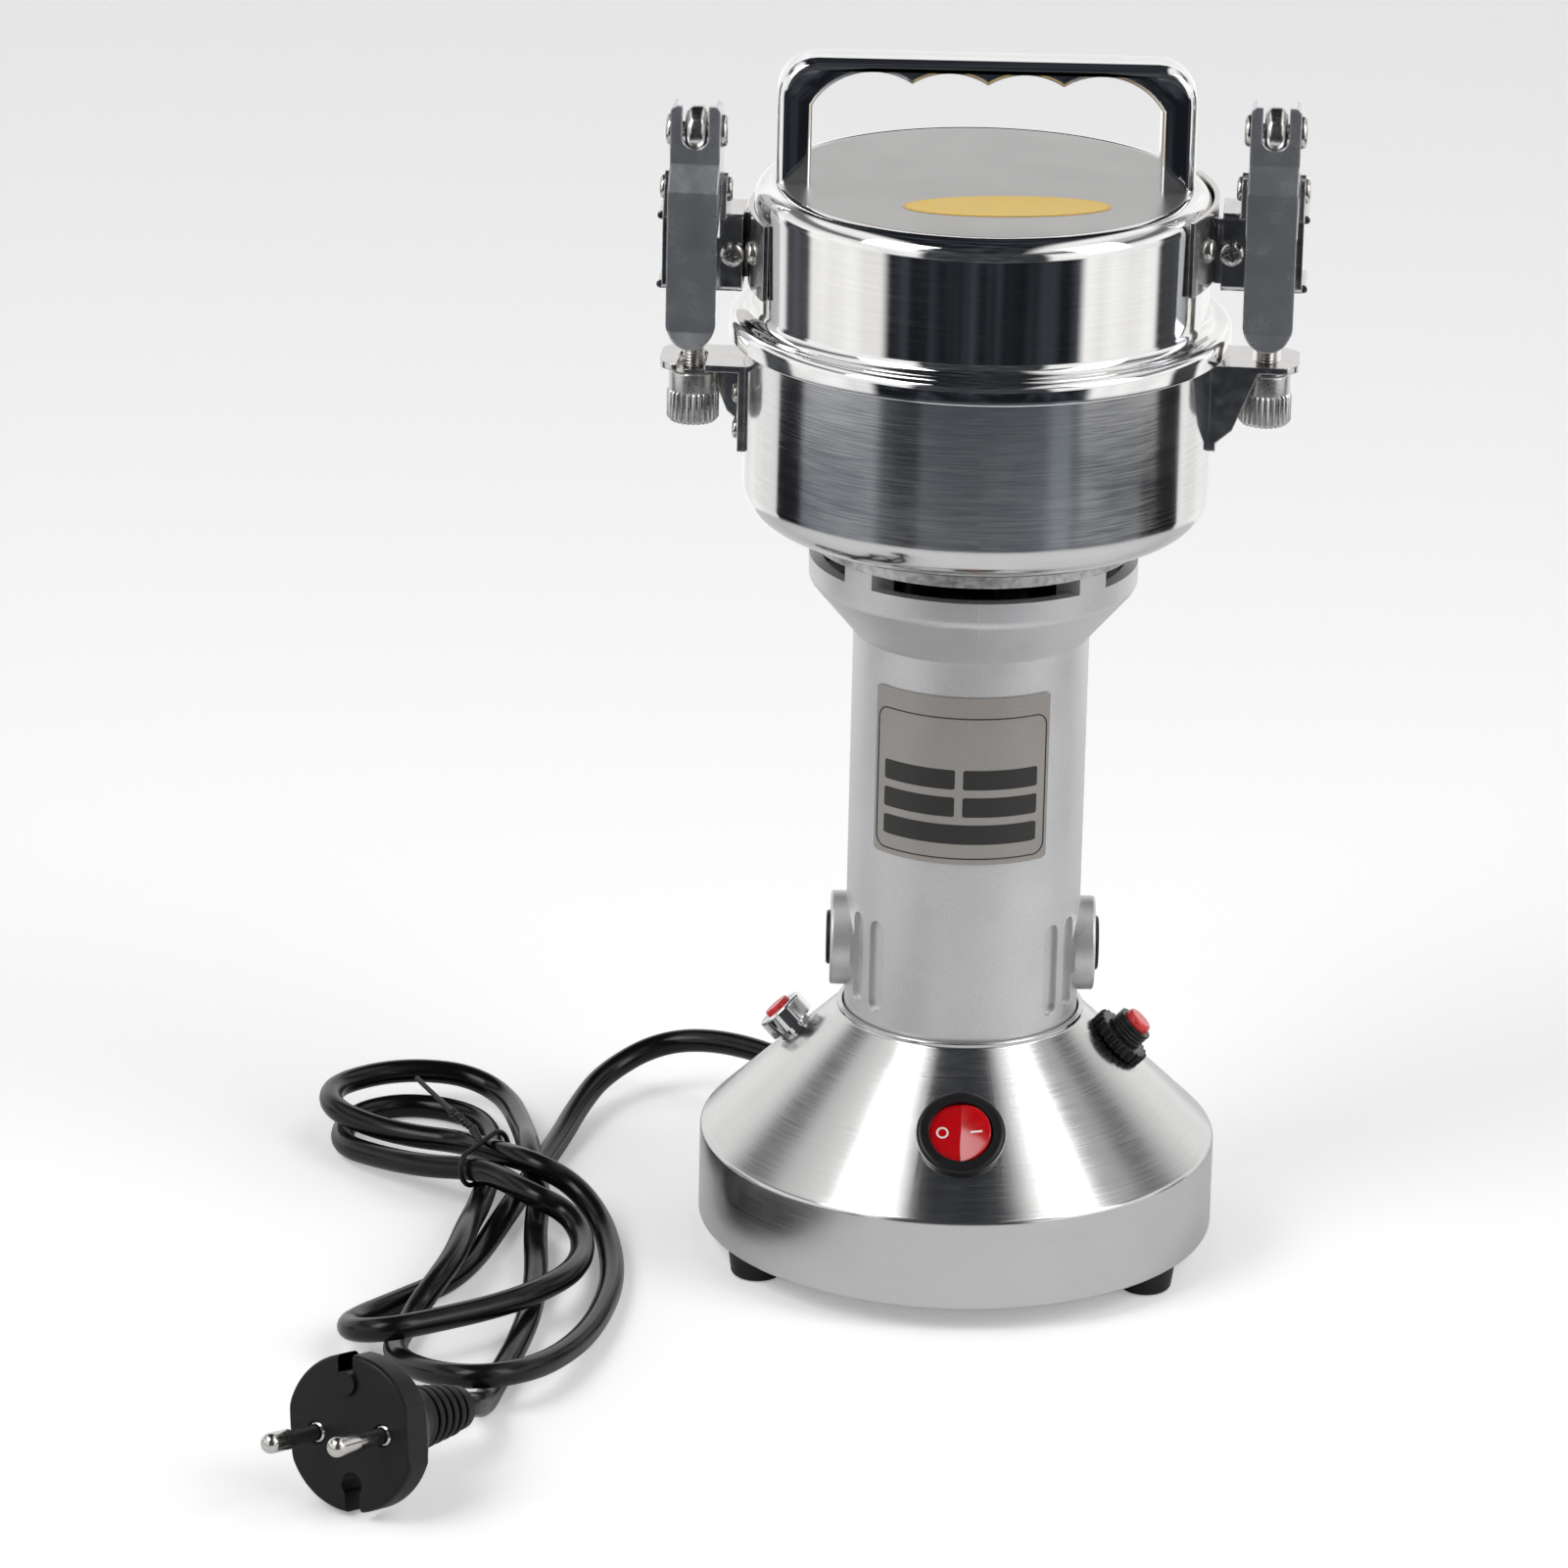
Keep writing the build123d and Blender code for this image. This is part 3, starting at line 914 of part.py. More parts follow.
def stub_rivets():
    """The two short pivot rivets of one clamp, leaving the middle open for the bolt."""
    outer = PLATE_IN + SIDE_T
    inner = LEVER_W / 2 - LEVER_T - RUNNING_GAP
    stub = rod_x(PIVOT_R, inner, outer) + rod_x(PIVOT_PEEN_R, inner - PIVOT_PEEN_T, inner)
    stub += Pos(outer, 0, 0) * Rot(0, 90, 0) * domed(PIVOT_HEAD_R, PIVOT_HEAD_T)
    return [stub, Rot(0, 0, 180) * stub]


def make_clamps():
    """Both over-centre clamps: base, lever, pins, bolt, washer and nut."""
    screws = []
    pivots = []
    for side, rise in CLAMP_RISE.items():
        flip = 1 if side == "right" else -1
        pivot_z = PIVOT_Z + rise
        frame = Rot(0, 0, CLAMP_TURN) * Pos(flip * CLAMP_R, 0, pivot_z)
        base = clamp_base_shape()
        screw = rod_y(SCREW_R, BASE_FRONT, SCREW_END)
        screw += Pos(0, BASE_FRONT, 0) * Rot(90, 0, 0) * domed(SCREW_HEAD_R, SCREW_HEAD_T)
        if side == "left":
            base = mirror(base, Plane.YZ)
        save(f"clamp_base_{side}", frame * base)
        screws.append(frame * Pos(flip * SCREW_OFFSET, 0, SCREW_Z) * screw)
        pivots += [frame * stub for stub in stub_rivets()]
        save(f"lever_{side}", frame * lever_shape())
        eye = frame * Pos(0, ROD_Y, EYE_RISE)
        save(f"eye_pin_{side}", eye * eye_pin_shape())
        top = EAR_TOP_Z + rise - BRACKET_T - NUT_GAP
        nut_top = top - WASHER_T
        nut_low = nut_top - NUT_H
        eye_z = pivot_z + EYE_RISE
        save(f"eye_bolt_{side}", eye * eye_bolt_shape(nut_low + ROD_END_RISE - eye_z))
        rod = Rot(0, 0, CLAMP_TURN) * Pos(flip * CLAMP_R, ROD_Y, 0)
        bore = ROD_R + RUNNING_GAP
        save(f"washer_{side}", rod * column(WASHER_R, nut_top, top, bore))
        nut = column(NUT_COLLAR_R, nut_top - NUT_COLLAR_H, nut_top - RUNNING_GAP)
        nut += column(NUT_R, nut_low, nut_top - NUT_COLLAR_H)
        flute = column(NUT_FLUTE_R, nut_low - OVERRUN, nut_top - NUT_COLLAR_H)
        flute = Pos(NUT_R + NUT_FLUTE_OUT, 0, 0) * flute
        for k in range(NUT_FLUTES):
            nut -= Rot(0, 0, k * 360 / NUT_FLUTES) * flute
        nut -= column(bore, nut_low - OVERRUN, nut_top + OVERRUN)
        save(f"knurled_nut_{side}", rod * nut)
    save("clamp_screws", screws)
    save("pivot_rivets", pivots)


def make_controls():
    """Rocker, jog button and overload reset on the cone, and the bare rating plate."""
    bezel = Cylinder(BEZEL_R, BEZEL_H, align=BASE_ALIGN)
    bezel = fillet(bezel.edges().sort_by(Axis.Z)[-1], BEZEL_ROUND)
    bezel += Pos(0, 0, -SWITCH_DEPTH) * Cylinder(SWITCH_BODY_R, SWITCH_DEPTH, align=BASE_ALIGN)
    bezel -= column(ROCKER_WELL_R, -ROCKER_WELL, BEZEL_H + OVERRUN)
    bezel -= Pos(0, 0, ROCKER_PIVOT) * rod_x(TRUNNION_HOLE_R, -TRUNNION_HOLE_LONG, TRUNNION_HOLE_LONG)
    save("rocker_bezel", ROCKER_FRAME * bezel)
    rocker = Sphere(ROCKER_BALL_R) & block((-BEZEL_R, -BEZEL_R, ROCKER_LOW - ROCKER_PIVOT),
                                           (BEZEL_R, BEZEL_R, ROCKER_HIGH - ROCKER_PIVOT))
    crown = ROCKER_HIGH - ROCKER_PIVOT
    drop = BEZEL_R * math.tan(math.radians(ROCKER_SLOPE))
    wedge = Polyline((-BEZEL_R, crown - drop), (0, crown), (BEZEL_R, crown - drop),
                     (BEZEL_R, crown + OVERRUN), (-BEZEL_R, crown + OVERRUN), close=True)
    wings = extrude(Plane.YZ * make_face(wedge), 2 * BEZEL_R)
    rocker -= Pos(-BEZEL_R, 0, 0) * wings
    rocker += rod_x(TRUNNION_R, -TRUNNION_LONG, TRUNNION_LONG)
    save("rocker", ROCKER_FRAME * Pos(0, 0, ROCKER_PIVOT) * Rot(ROCKER_SLOPE, 0, 0) * rocker)

    jog = Pos(0, 0, JOG_NECK_H) * Cylinder(JOG_BEZEL_R, JOG_BEZEL_TOP - JOG_NECK_H, align=BASE_ALIGN)
    jog = fillet(jog.edges().sort_by(Axis.Z)[-1], RIM_ROUND)
    jog += Pos(0, 0, -JOG_DEPTH) * Cylinder(JOG_BODY_R, JOG_DEPTH + JOG_NECK_H, align=BASE_ALIGN)
    jog -= Pos(0, 0, JOG_BORE_FLOOR) * Cylinder(JOG_CAP_R + CAP_RUNNING, JOG_DEPTH, align=BASE_ALIGN)
    save("jog_bezel", JOG_FRAME * jog)
    cap = Pos(0, 0, JOG_CAP_FLOOR) * Cylinder(JOG_CAP_R, JOG_CAP_TOP - JOG_CAP_FLOOR, align=BASE_ALIGN)
    cap = fillet(cap.edges().sort_by(Axis.Z)[-1], RIM_ROUND / 2)
    save("jog_button", JOG_FRAME * cap)

    bush = Cylinder(RESET_BUSH_R, RESET_BUSH_TOP - RESET_BODY_TOP, align=BASE_ALIGN)
    bush = Pos(0, 0, RESET_BODY_TOP) * bush
    pitch = (RESET_BUSH_TOP - RESET_NUT_H) / (RESET_THREADS + 1)
    for k in range(RESET_THREADS):
        height = RESET_NUT_H + (k + 1) * pitch
        groove = Torus(RESET_BUSH_R + RESET_THREAD_OUT, RESET_THREAD_R)
        bush -= Pos(0, 0, height) * groove
    bush += Pos(0, 0, RESET_BODY_TOP - RESET_DEPTH) * Cylinder(RESET_BODY_R, RESET_DEPTH, align=BASE_ALIGN)
    bush -= column(RESET_CAP_R + CAP_RUNNING, JOG_BORE_FLOOR, RESET_CAP_TOP)
    save("overload_body", RESET_FRAME * bush)
    ring = Cylinder(RESET_NUT_R, RESET_NUT_H, align=BASE_ALIGN)
    ring = fillet(ring.edges().sort_by(Axis.Z)[-1], RIM_ROUND)
    ring -= Pos(0, 0, -OVERRUN) * Cylinder(RESET_BUSH_R, RESET_NUT_H + 2 * OVERRUN, align=BASE_ALIGN)
    save("overload_nut", RESET_FRAME * ring)
    cap = Pos(0, 0, JOG_CAP_FLOOR) * Cylinder(RESET_CAP_R, RESET_CAP_TOP - JOG_CAP_FLOOR, align=BASE_ALIGN)
    cap = fillet(cap.edges().sort_by(Axis.Z)[-1], RIM_ROUND)
    save("reset_button", RESET_FRAME * cap)

    label = column(COLUMN_R + LABEL_T, LABEL_LOW, LABEL_HIGH, COLUMN_R + LABEL_SEAT)
    far = 2 * COLLAR_R
    spread = far * math.tan(math.radians(LABEL_HALF_ANGLE))
    wedge = Polyline((0, 0), (far, -spread), (far, spread), close=True)
    window = Pos(0, 0, LABEL_LOW) * extrude(make_face(wedge), LABEL_HIGH - LABEL_LOW)
    save("rating_plate", label & Rot(0, 0, LABEL_CENTRE) * window)


def bend_radii(points):
    """Radius of the arc at each inner point of a route."""
    radii = []
    for before, here, after in zip(points, points[1:], points[2:]):
        came = Vector(*here) - Vector(*before)
        goes = Vector(*after) - Vector(*here)
        half_turn = math.radians(came.get_angle(goes)) / 2
        radii.append(CORD_SHARE * min(came.length, goes.length) / math.tan(half_turn))
    return radii


def tube(points, radius):
    """Sweep a round section along straight runs joined by tangent arcs."""
    radii = bend_radii(points)
    route = FilletPolyline(*points, radius=radii)
    section = Plane(origin=route @ 0, z_dir=route % 0) * Circle(radius)
    body = sweep(section, path=route)
    ideal = math.pi * radius ** 2 * route.length
    print("tube", round(route.length, 1), "tightest", round(min(radii), 1), "volume ratio",
          round(body.volume / ideal, 4))
    return body, route


def clearance_to_self(route):
    """Least distance between stretches of the cord that lie side by side."""
    count = round(route.length / 2)
    spots = [route @ (k / count) for k in range(count + 1)]
    apart = round(APART_SHARE * CORD_R)
    gaps = [(a - b).length for i, a in enumerate(spots) for b in spots[i + apart:]]
    return min(gaps) - 2 * CORD_R


def make_cord():
    """Gland, mains cord, plug with pins, and the wire tie."""
    gland = Pos(0, 0, -GLAND_IN) * Cylinder(GLAND_R, GLAND_IN, align=BASE_ALIGN)
    gland += Cylinder(GLAND_HEAD_R, GLAND_HEAD_T, align=BASE_ALIGN)
    gland += Pos(0, 0, GLAND_HEAD_T) * Cone(GLAND_HEAD_R * CORD_SHARE * 2 - OVERRUN, GLAND_BOOT_R,
                                            GLAND_BOOT_LONG - GLAND_HEAD_T, align=BASE_ALIGN)
    save("cord_gland", GLAND_FRAME * gland)
    away = Vector(1, 0, 0).rotate(Axis.Z, GLAND_AZIMUTH)
    start = away * (RIM_R + GLAND_BOOT_LONG) + Vector(0, 0, GLAND_Z)
    lead = start + away * CORD_LEAD
    way = Vector(*PLUG_WAY).normalized()
    face = Vector(*PLUG_FACE)
    end = face + way * PLUG_BOOT_END
    before_end = end + way * 2 * CORD_R
    points = [tuple(start), tuple(lead)] + list(CORD_ROUTE) + [tuple(before_end), tuple(end)]
    cord, route = tube(points, CORD_R)
    print("cord clearance to itself", round(clearance_to_self(route), 2))
    save("power_cord", cord)

    side = Vector(0, 0, 1).cross(way).normalized()
    plug_plane = Plane(origin=face, x_dir=side.rotate(Axis(face, way), PLUG_ROLL), z_dir=way)
    disc = spun_rounded(
        [(0, 0), (PLUG_FACE_R, 0), (PLUG_FACE_R, PLUG_RIM_T), (PLUG_SHOULDER_R, PLUG_DISC_T)],
        [PLUG_ROUND, PLUG_ROUND])
    disc &= block((-PLUG_FLAT, -PLUG_FACE_R, -OVERRUN), (PLUG_FLAT, PLUG_FACE_R, PLUG_DISC_T + OVERRUN))
    notch_floor = PLUG_FACE_R - PLUG_NOTCH_H
    half = PLUG_NOTCH_W / 2
    for turn in (0, 180):
        notch = block((-half, notch_floor + half, -OVERRUN),
                      (half, PLUG_FACE_R + OVERRUN, PLUG_DISC_T + OVERRUN))
        notch += Pos(0, notch_floor + half, 0) * column(half, -OVERRUN, PLUG_DISC_T + OVERRUN)
        disc -= Rot(0, 0, turn) * notch
    neck_low = PLUG_DISC_T - OVERRUN
    neck = Cone(notch_floor, PLUG_BOOT_R + OVERRUN, PLUG_NECK_END - neck_low, align=BASE_ALIGN)
    neck = Pos(0, 0, neck_low) * neck
    boot = Pos(0, 0, PLUG_NECK_END) * Cone(PLUG_BOOT_R, PLUG_BOOT_END_R, PLUG_BOOT_END - PLUG_NECK_END,
                                           align=BASE_ALIGN)
    for k in range(RIB_COUNT):
        low = PLUG_NECK_END + RIB_W + k * RIB_PITCH
        outer = PLUG_BOOT_R + OVERRUN
        ring = column(outer, low, low + RIB_W, outer - 2 * RIB_DEPTH)
        ring -= block((-outer, -RIB_W, low), (outer, RIB_W, low + RIB_W))
        boot -= ring
    plug = disc + neck + boot
    pins = []
    for flip in (1, -1):
        at = Pos(flip * PIN_SPACING / 2, 0, 0)
        plug -= at * Cylinder(PIN_R, PIN_ROOT, align=BASE_ALIGN)
        pin = Pos(0, 0, -PIN_LONG) * Cylinder(PIN_R, PIN_LONG + PIN_ROOT, align=BASE_ALIGN)
        pin = fillet(pin.edges().sort_by(Axis.Z)[0], PIN_R * DOME_SHARE)
        pins.append(plug_plane * at * pin)
    save("plug_body", plug_plane * plug)
    save("plug_pins", pins)

    loop = RectangleRounded(2 * TIE_HALF_W, 2 * TIE_HALF_H, TIE_ROUND).wire()
    frame = Plane(origin=TIE_CENTRE, x_dir=TIE_ACROSS, z_dir=TIE_ALONG)
    wire = frame * loop
    section = Plane(origin=wire @ 0, z_dir=wire % 0) * Circle(TIE_R)
    tie = sweep(section, path=wire)
    spots = [wire @ (k / LOOP_SAMPLES) for k in range(LOOP_SAMPLES)]
    top = max(spots, key=lambda spot: spot.Z)
    tail, _ = tube([tuple(top)] + list(TIE_TAIL), TIE_R)
    fork, _ = tube(list(TIE_FORK), TIE_R)
    save("cord_tie", tie + tail + fork)


make_base()
make_housing()
make_motor()
make_bowl()
make_lid()
make_clamps()
make_controls()
make_cord()
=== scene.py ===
"""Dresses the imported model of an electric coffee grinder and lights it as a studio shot.

Sizes are millimetres in the model's frame: +Z is up, the floor is z = 0 and the
rocker switch faces -Y. Meshes are turned into metres when they are made.
"""

import json
import logging
import math
from dataclasses import dataclass, field
from enum import Enum
from typing import Iterable, Sequence

import bmesh
import bpy
import numpy as np
from mathutils import Matrix, Vector

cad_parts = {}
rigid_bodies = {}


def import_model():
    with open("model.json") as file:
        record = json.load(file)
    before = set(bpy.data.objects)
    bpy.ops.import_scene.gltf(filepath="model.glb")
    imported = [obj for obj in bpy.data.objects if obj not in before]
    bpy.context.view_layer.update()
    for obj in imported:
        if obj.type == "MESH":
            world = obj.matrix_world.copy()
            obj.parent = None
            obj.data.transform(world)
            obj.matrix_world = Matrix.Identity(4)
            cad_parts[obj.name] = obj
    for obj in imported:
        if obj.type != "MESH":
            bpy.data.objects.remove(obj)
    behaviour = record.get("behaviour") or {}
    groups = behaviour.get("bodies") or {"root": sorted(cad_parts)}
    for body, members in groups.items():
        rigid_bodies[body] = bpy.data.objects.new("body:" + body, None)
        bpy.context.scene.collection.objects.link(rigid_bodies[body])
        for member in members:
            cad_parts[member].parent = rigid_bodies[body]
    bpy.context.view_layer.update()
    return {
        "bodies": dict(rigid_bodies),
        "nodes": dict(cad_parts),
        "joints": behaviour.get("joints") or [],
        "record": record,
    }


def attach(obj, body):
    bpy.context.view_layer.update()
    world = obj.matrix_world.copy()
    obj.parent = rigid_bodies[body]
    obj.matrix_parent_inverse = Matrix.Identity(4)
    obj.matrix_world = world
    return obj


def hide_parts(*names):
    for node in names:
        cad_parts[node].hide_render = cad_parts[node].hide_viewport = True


LOG = logging.getLogger("grinder")
MM = 0.001
TURN_STRETCH = 0.0012
CLOUD_MM = 18.0
COAT_ROUGHNESS = 0.08
GRAIN_SHARE, TEXTURE_RANGE = 0.6, (0.3, 0.7)
GRAIN_DETAIL, CLOUD_DETAIL = 4.0, 2.0
TURNED_ROTATION, EDGE_SAMPLES = 0.25, 4
TUBE_ROUND, TUBE_STEPS = 6, 10
ARC_STEPS = 8
CORNER_SHARE = 0.98
PATCH_COLUMNS, NEAR, UPRIGHT = 41, 1e-6, 1e-9
MERGE_M = 1e-7
BEVEL_STEPS, BEVEL_FROM_DEG = 3, 30
Point = Sequence[float]


class Slot(str, Enum):
    """Material slots of the record."""

    BRUSHED = "brushed_steel"
    POLISHED = "polished_steel"
    CAST = "cast_alloy"
    HANDLE = "chromed_handle"
    NICKEL = "nickel_fasteners"
    RUBBER = "black_rubber"
    PLASTIC = "black_plastic"
    PLUG = "plug_black"
    TIE = "tie_black"
    LENS = "red_lens"
    FOIL = "grey_foil"


@dataclass(frozen=True)
class Finish:
    """How one surface looks.

    Attributes:
        color: Base colour, linear.
        metallic: 1 for bare metal.
        roughness: Mean roughness.
        spread: How far the roughness wanders either side of its mean.
        grain_mm: Size of the surface's own texture.
        bump_mm: Depth of that texture.
        turned: Whether fine lines run round the Z axis.
        anisotropy: Stretch of the highlight across the turned lines.
        edge_mm: Radius at which sharp edges look worn round.
        tint: Share by which the colour wanders.
        clear: Share of light let through, for a clear lens.
        coat: Weight of a gloss coat.
        shine: Strength of the reflection of a surface that isn't metal.
    """

    color: tuple
    metallic: float = 0.0
    roughness: float = 0.4
    spread: float = 0.05
    grain_mm: float = 1.0
    bump_mm: float = 0.01
    turned: bool = False
    anisotropy: float = 0.0
    edge_mm: float = 0.0
    tint: float = 0.04
    clear: float = 0.0
    coat: float = 0.0
    shine: float = 0.5


FINISHES = {
    "brushed_base": Finish((0.62, 0.615, 0.61), 1.0, 0.21, 0.04, 0.35, 0.002, True, 0.7, 0.0, 0.03),
    "polished_lid": Finish((0.80, 0.795, 0.79), 1.0, 0.075, 0.03, 0.5, 0.0008, True, 0.35, 0.0, 0.03),
    "turned_bowl": Finish((0.70, 0.695, 0.69), 1.0, 0.13, 0.04, 0.25, 0.0011, True, 0.75, 0.0, 0.05),
    "satin_disc": Finish((0.50, 0.495, 0.49), 1.0, 0.34, 0.05, 0.4, 0.003, False, 0.0, 0.0, 0.05),
    "cast": Finish((0.68, 0.68, 0.685), 0.8, 0.44, 0.06, 0.45, 0.03, False, 0.0, 0.25, 0.05),
    "cast_pitted": Finish((0.62, 0.62, 0.62), 0.85, 0.40, 0.10, 1.5, 0.16, False, 0.0, 0.4, 0.16),
    "mirror_chrome": Finish((0.80, 0.80, 0.80), 1.0, 0.045, 0.02, 6.0, 0.002, False, 0.0, 0.0, 0.02),
    "bright_strap": Finish((0.62, 0.61, 0.60), 1.0, 0.16, 0.05, 3.0, 0.004, False, 0.0, 0.45, 0.05),
    "lever": Finish((0.62, 0.635, 0.66), 0.9, 0.26, 0.03, 6.0, 0.001, False, 0.0, 0.6, 0.03),
    "nickel": Finish((0.62, 0.60, 0.57), 1.0, 0.18, 0.06, 1.2, 0.004, False, 0.0, 0.2, 0.06),
    "zinc_knurl": Finish((0.60, 0.595, 0.59), 1.0, 0.30, 0.08, 0.6, 0.008, False, 0.0, 0.15, 0.08),
    "dark_steel": Finish((0.34, 0.33, 0.32), 1.0, 0.28, 0.06, 1.0, 0.004, False, 0.0, 0.2, 0.1),
    "rubber": Finish((0.008, 0.008, 0.009), 0.0, 0.42, 0.06, 1.5, 0.01, False, 0.0, 0.3, 0.1, shine=0.3),
    "cord": Finish((0.005, 0.005, 0.006), 0.0, 0.22, 0.05, 8.0, 0.02, False, 0.0, 0.0, 0.1, shine=0.28),
    "plug": Finish((0.007, 0.007, 0.008), 0.0, 0.42, 0.06, 0.35, 0.012, False, 0.0, 0.2, 0.1, shine=0.25),
    "black_plastic": Finish((0.008, 0.008, 0.009), 0.0, 0.33, 0.05, 0.8, 0.006, False, 0.0, 0.3, 0.1, shine=0.3),
    "red_lens": Finish((0.62, 0.004, 0.008), 0.0, 0.12, 0.03, 2.0, 0.004, False, 0.0, 0.25, 0.05, 0.25, 0.2),
    "red_button": Finish((0.72, 0.03, 0.035), 0.0, 0.28, 0.05, 1.0, 0.004, False, 0.0, 0.2, 0.05, 0.0, 0.3),
    "foil": Finish((0.35, 0.33, 0.31), 0.35, 0.36, 0.04, 0.5, 0.002, False, 0.0, 0.0, 0.04),
    "print_black": Finish((0.022, 0.021, 0.020), 0.0, 0.4, 0.04, 0.5, 0.001),
    "mark_white": Finish((0.75, 0.72, 0.70), 0.0, 0.4, 0.04, 0.5, 0.001),
    "sticker": Finish((0.78, 0.52, 0.07), 0.0, 0.38, 0.04, 3.0, 0.004, False, 0.0, 0.0, 0.03, 0.0, 0.0),
    "sticker_edge": Finish((0.72, 0.42, 0.07), 0.0, 0.4, 0.04, 3.0, 0.002),
    "copper": Finish((0.55, 0.25, 0.11), 1.0, 0.35, 0.06, 0.6, 0.02),
    "iron": Finish((0.16, 0.16, 0.17), 0.7, 0.5, 0.06, 0.5, 0.01, True, 0.3),
    "ground_blade": Finish((0.64, 0.64, 0.64), 1.0, 0.22, 0.06, 0.5, 0.004, False, 0.0, 0.2, 0.06),
}

# CAD nodes that keep their meshes, by finish
CAD_FINISHES = {
    "dark_steel": "bottom_plate bracket_screws bearings",
    "rubber": "rubber_feet shaft_seal carbon_brushes cord_gland lid_gasket",
    "nickel": "foot_screws housing_nuts bowl_screws bracket_rivets handle_screws saddle_rivets pivot_rivets "
              "rotor_shaft blade_nut eye_pin_left eye_pin_right washer_left washer_right",
    "cast": "motor_housing collar_ring",
    "cast_pitted": "top_bracket",
    "iron": "stator_core armature",
    "copper": "field_windings",
    "black_plastic": "brush_holders rocker_bezel overload_body cooling_fan",
    "bright_strap": "bowl_bracket_left bowl_bracket_right lid_saddle_left lid_saddle_right clamp_base_left "
                    "clamp_base_right",
    "mirror_chrome": "jog_bezel",
    "ground_blade": "blades",
    "red_button": "jog_button reset_button",
    "lever": "lever_left lever_right",
}


class Graph:
    """Short ways to add and join shader nodes."""

    def __init__(self, tree: bpy.types.NodeTree) -> None:
        """Start from an empty node tree."""
        self.tree = tree
        tree.nodes.clear()

    def add(self, kind: str, **settings) -> bpy.types.Node:
        """Add a node and set its plain properties."""
        node = self.tree.nodes.new(kind)
        for name, value in settings.items():
            setattr(node, name, value)
        return node

    def feed(self, socket, value) -> None:
        """Join a socket to another, or set its value."""
        if isinstance(value, bpy.types.NodeSocket):
            self.tree.links.new(value, socket)
        else:
            socket.default_value = value

    def math(self, operation: str, *values):
        """Add a maths node and return its output."""
        node = self.add("ShaderNodeMath", operation=operation)
        for socket, value in zip(node.inputs, values):
            self.feed(socket, value)
        return node.outputs[0]

    def ramp(self, value, low: float, high: float, to_low: float = 0.0, to_high: float = 1.0,
             smooth: bool = True):
        """Map a value from one range to another, clamped."""
        node = self.add("ShaderNodeMapRange", interpolation_type="SMOOTHSTEP" if smooth else "LINEAR")
        for socket, item in zip(node.inputs, (value, low, high, to_low, to_high)):
            self.feed(socket, item)
        return node.outputs[0]

    def band(self, value, low: float, high: float, soft: float):
        """Return 1 inside a range and 0 outside it, with soft ends."""
        rise = self.ramp(value, low - soft, low + soft)
        fall = self.ramp(value, high - soft, high + soft, 1.0, 0.0)
        return self.math("MULTIPLY", rise, fall)

    def mix(self, share, first, second):
        """Blend two colours."""
        node = self.add("ShaderNodeMix", data_type="RGBA")
        for name, value in (("Factor_Float", share), ("A_Color", first), ("B_Color", second)):
            socket = next(s for s in node.inputs if s.identifier == name)
            self.feed(socket, value)
        return next(s for s in node.outputs if s.identifier == "Result_Color")

    def split(self, vector) -> tuple:
        """Return the three parts of a vector."""
        node = self.add("ShaderNodeSeparateXYZ")
        self.feed(node.inputs[0], vector)
        return tuple(node.outputs)

    def azimuth(self, x, y):
        """Angle from the front (-Y) towards +X, in radians."""
        return self.math("ARCTAN2", x, self.math("MULTIPLY", y, -1.0))

    def close(self, shader: bpy.types.Node, kind: str = "ShaderNodeOutputMaterial") -> None:
        """Join a shader to a new output node."""
        self.feed(self.add(kind).inputs["Surface"], shader.outputs[0])

    def noise(self, vector, scale: float, detail: float):
        """Add a noise texture and return its value."""
        node = self.add("ShaderNodeTexNoise")
        self.feed(node.inputs["Vector"], vector)
        self.feed(node.inputs["Scale"], scale)
        self.feed(node.inputs["Detail"], detail)
        return node.outputs["Fac"]


def new_material(name: str) -> tuple:
    """Make a material and return it with its empty graph."""
    material = bpy.data.materials.new(name)
    material.use_nodes = True
    return material, Graph(material.node_tree)


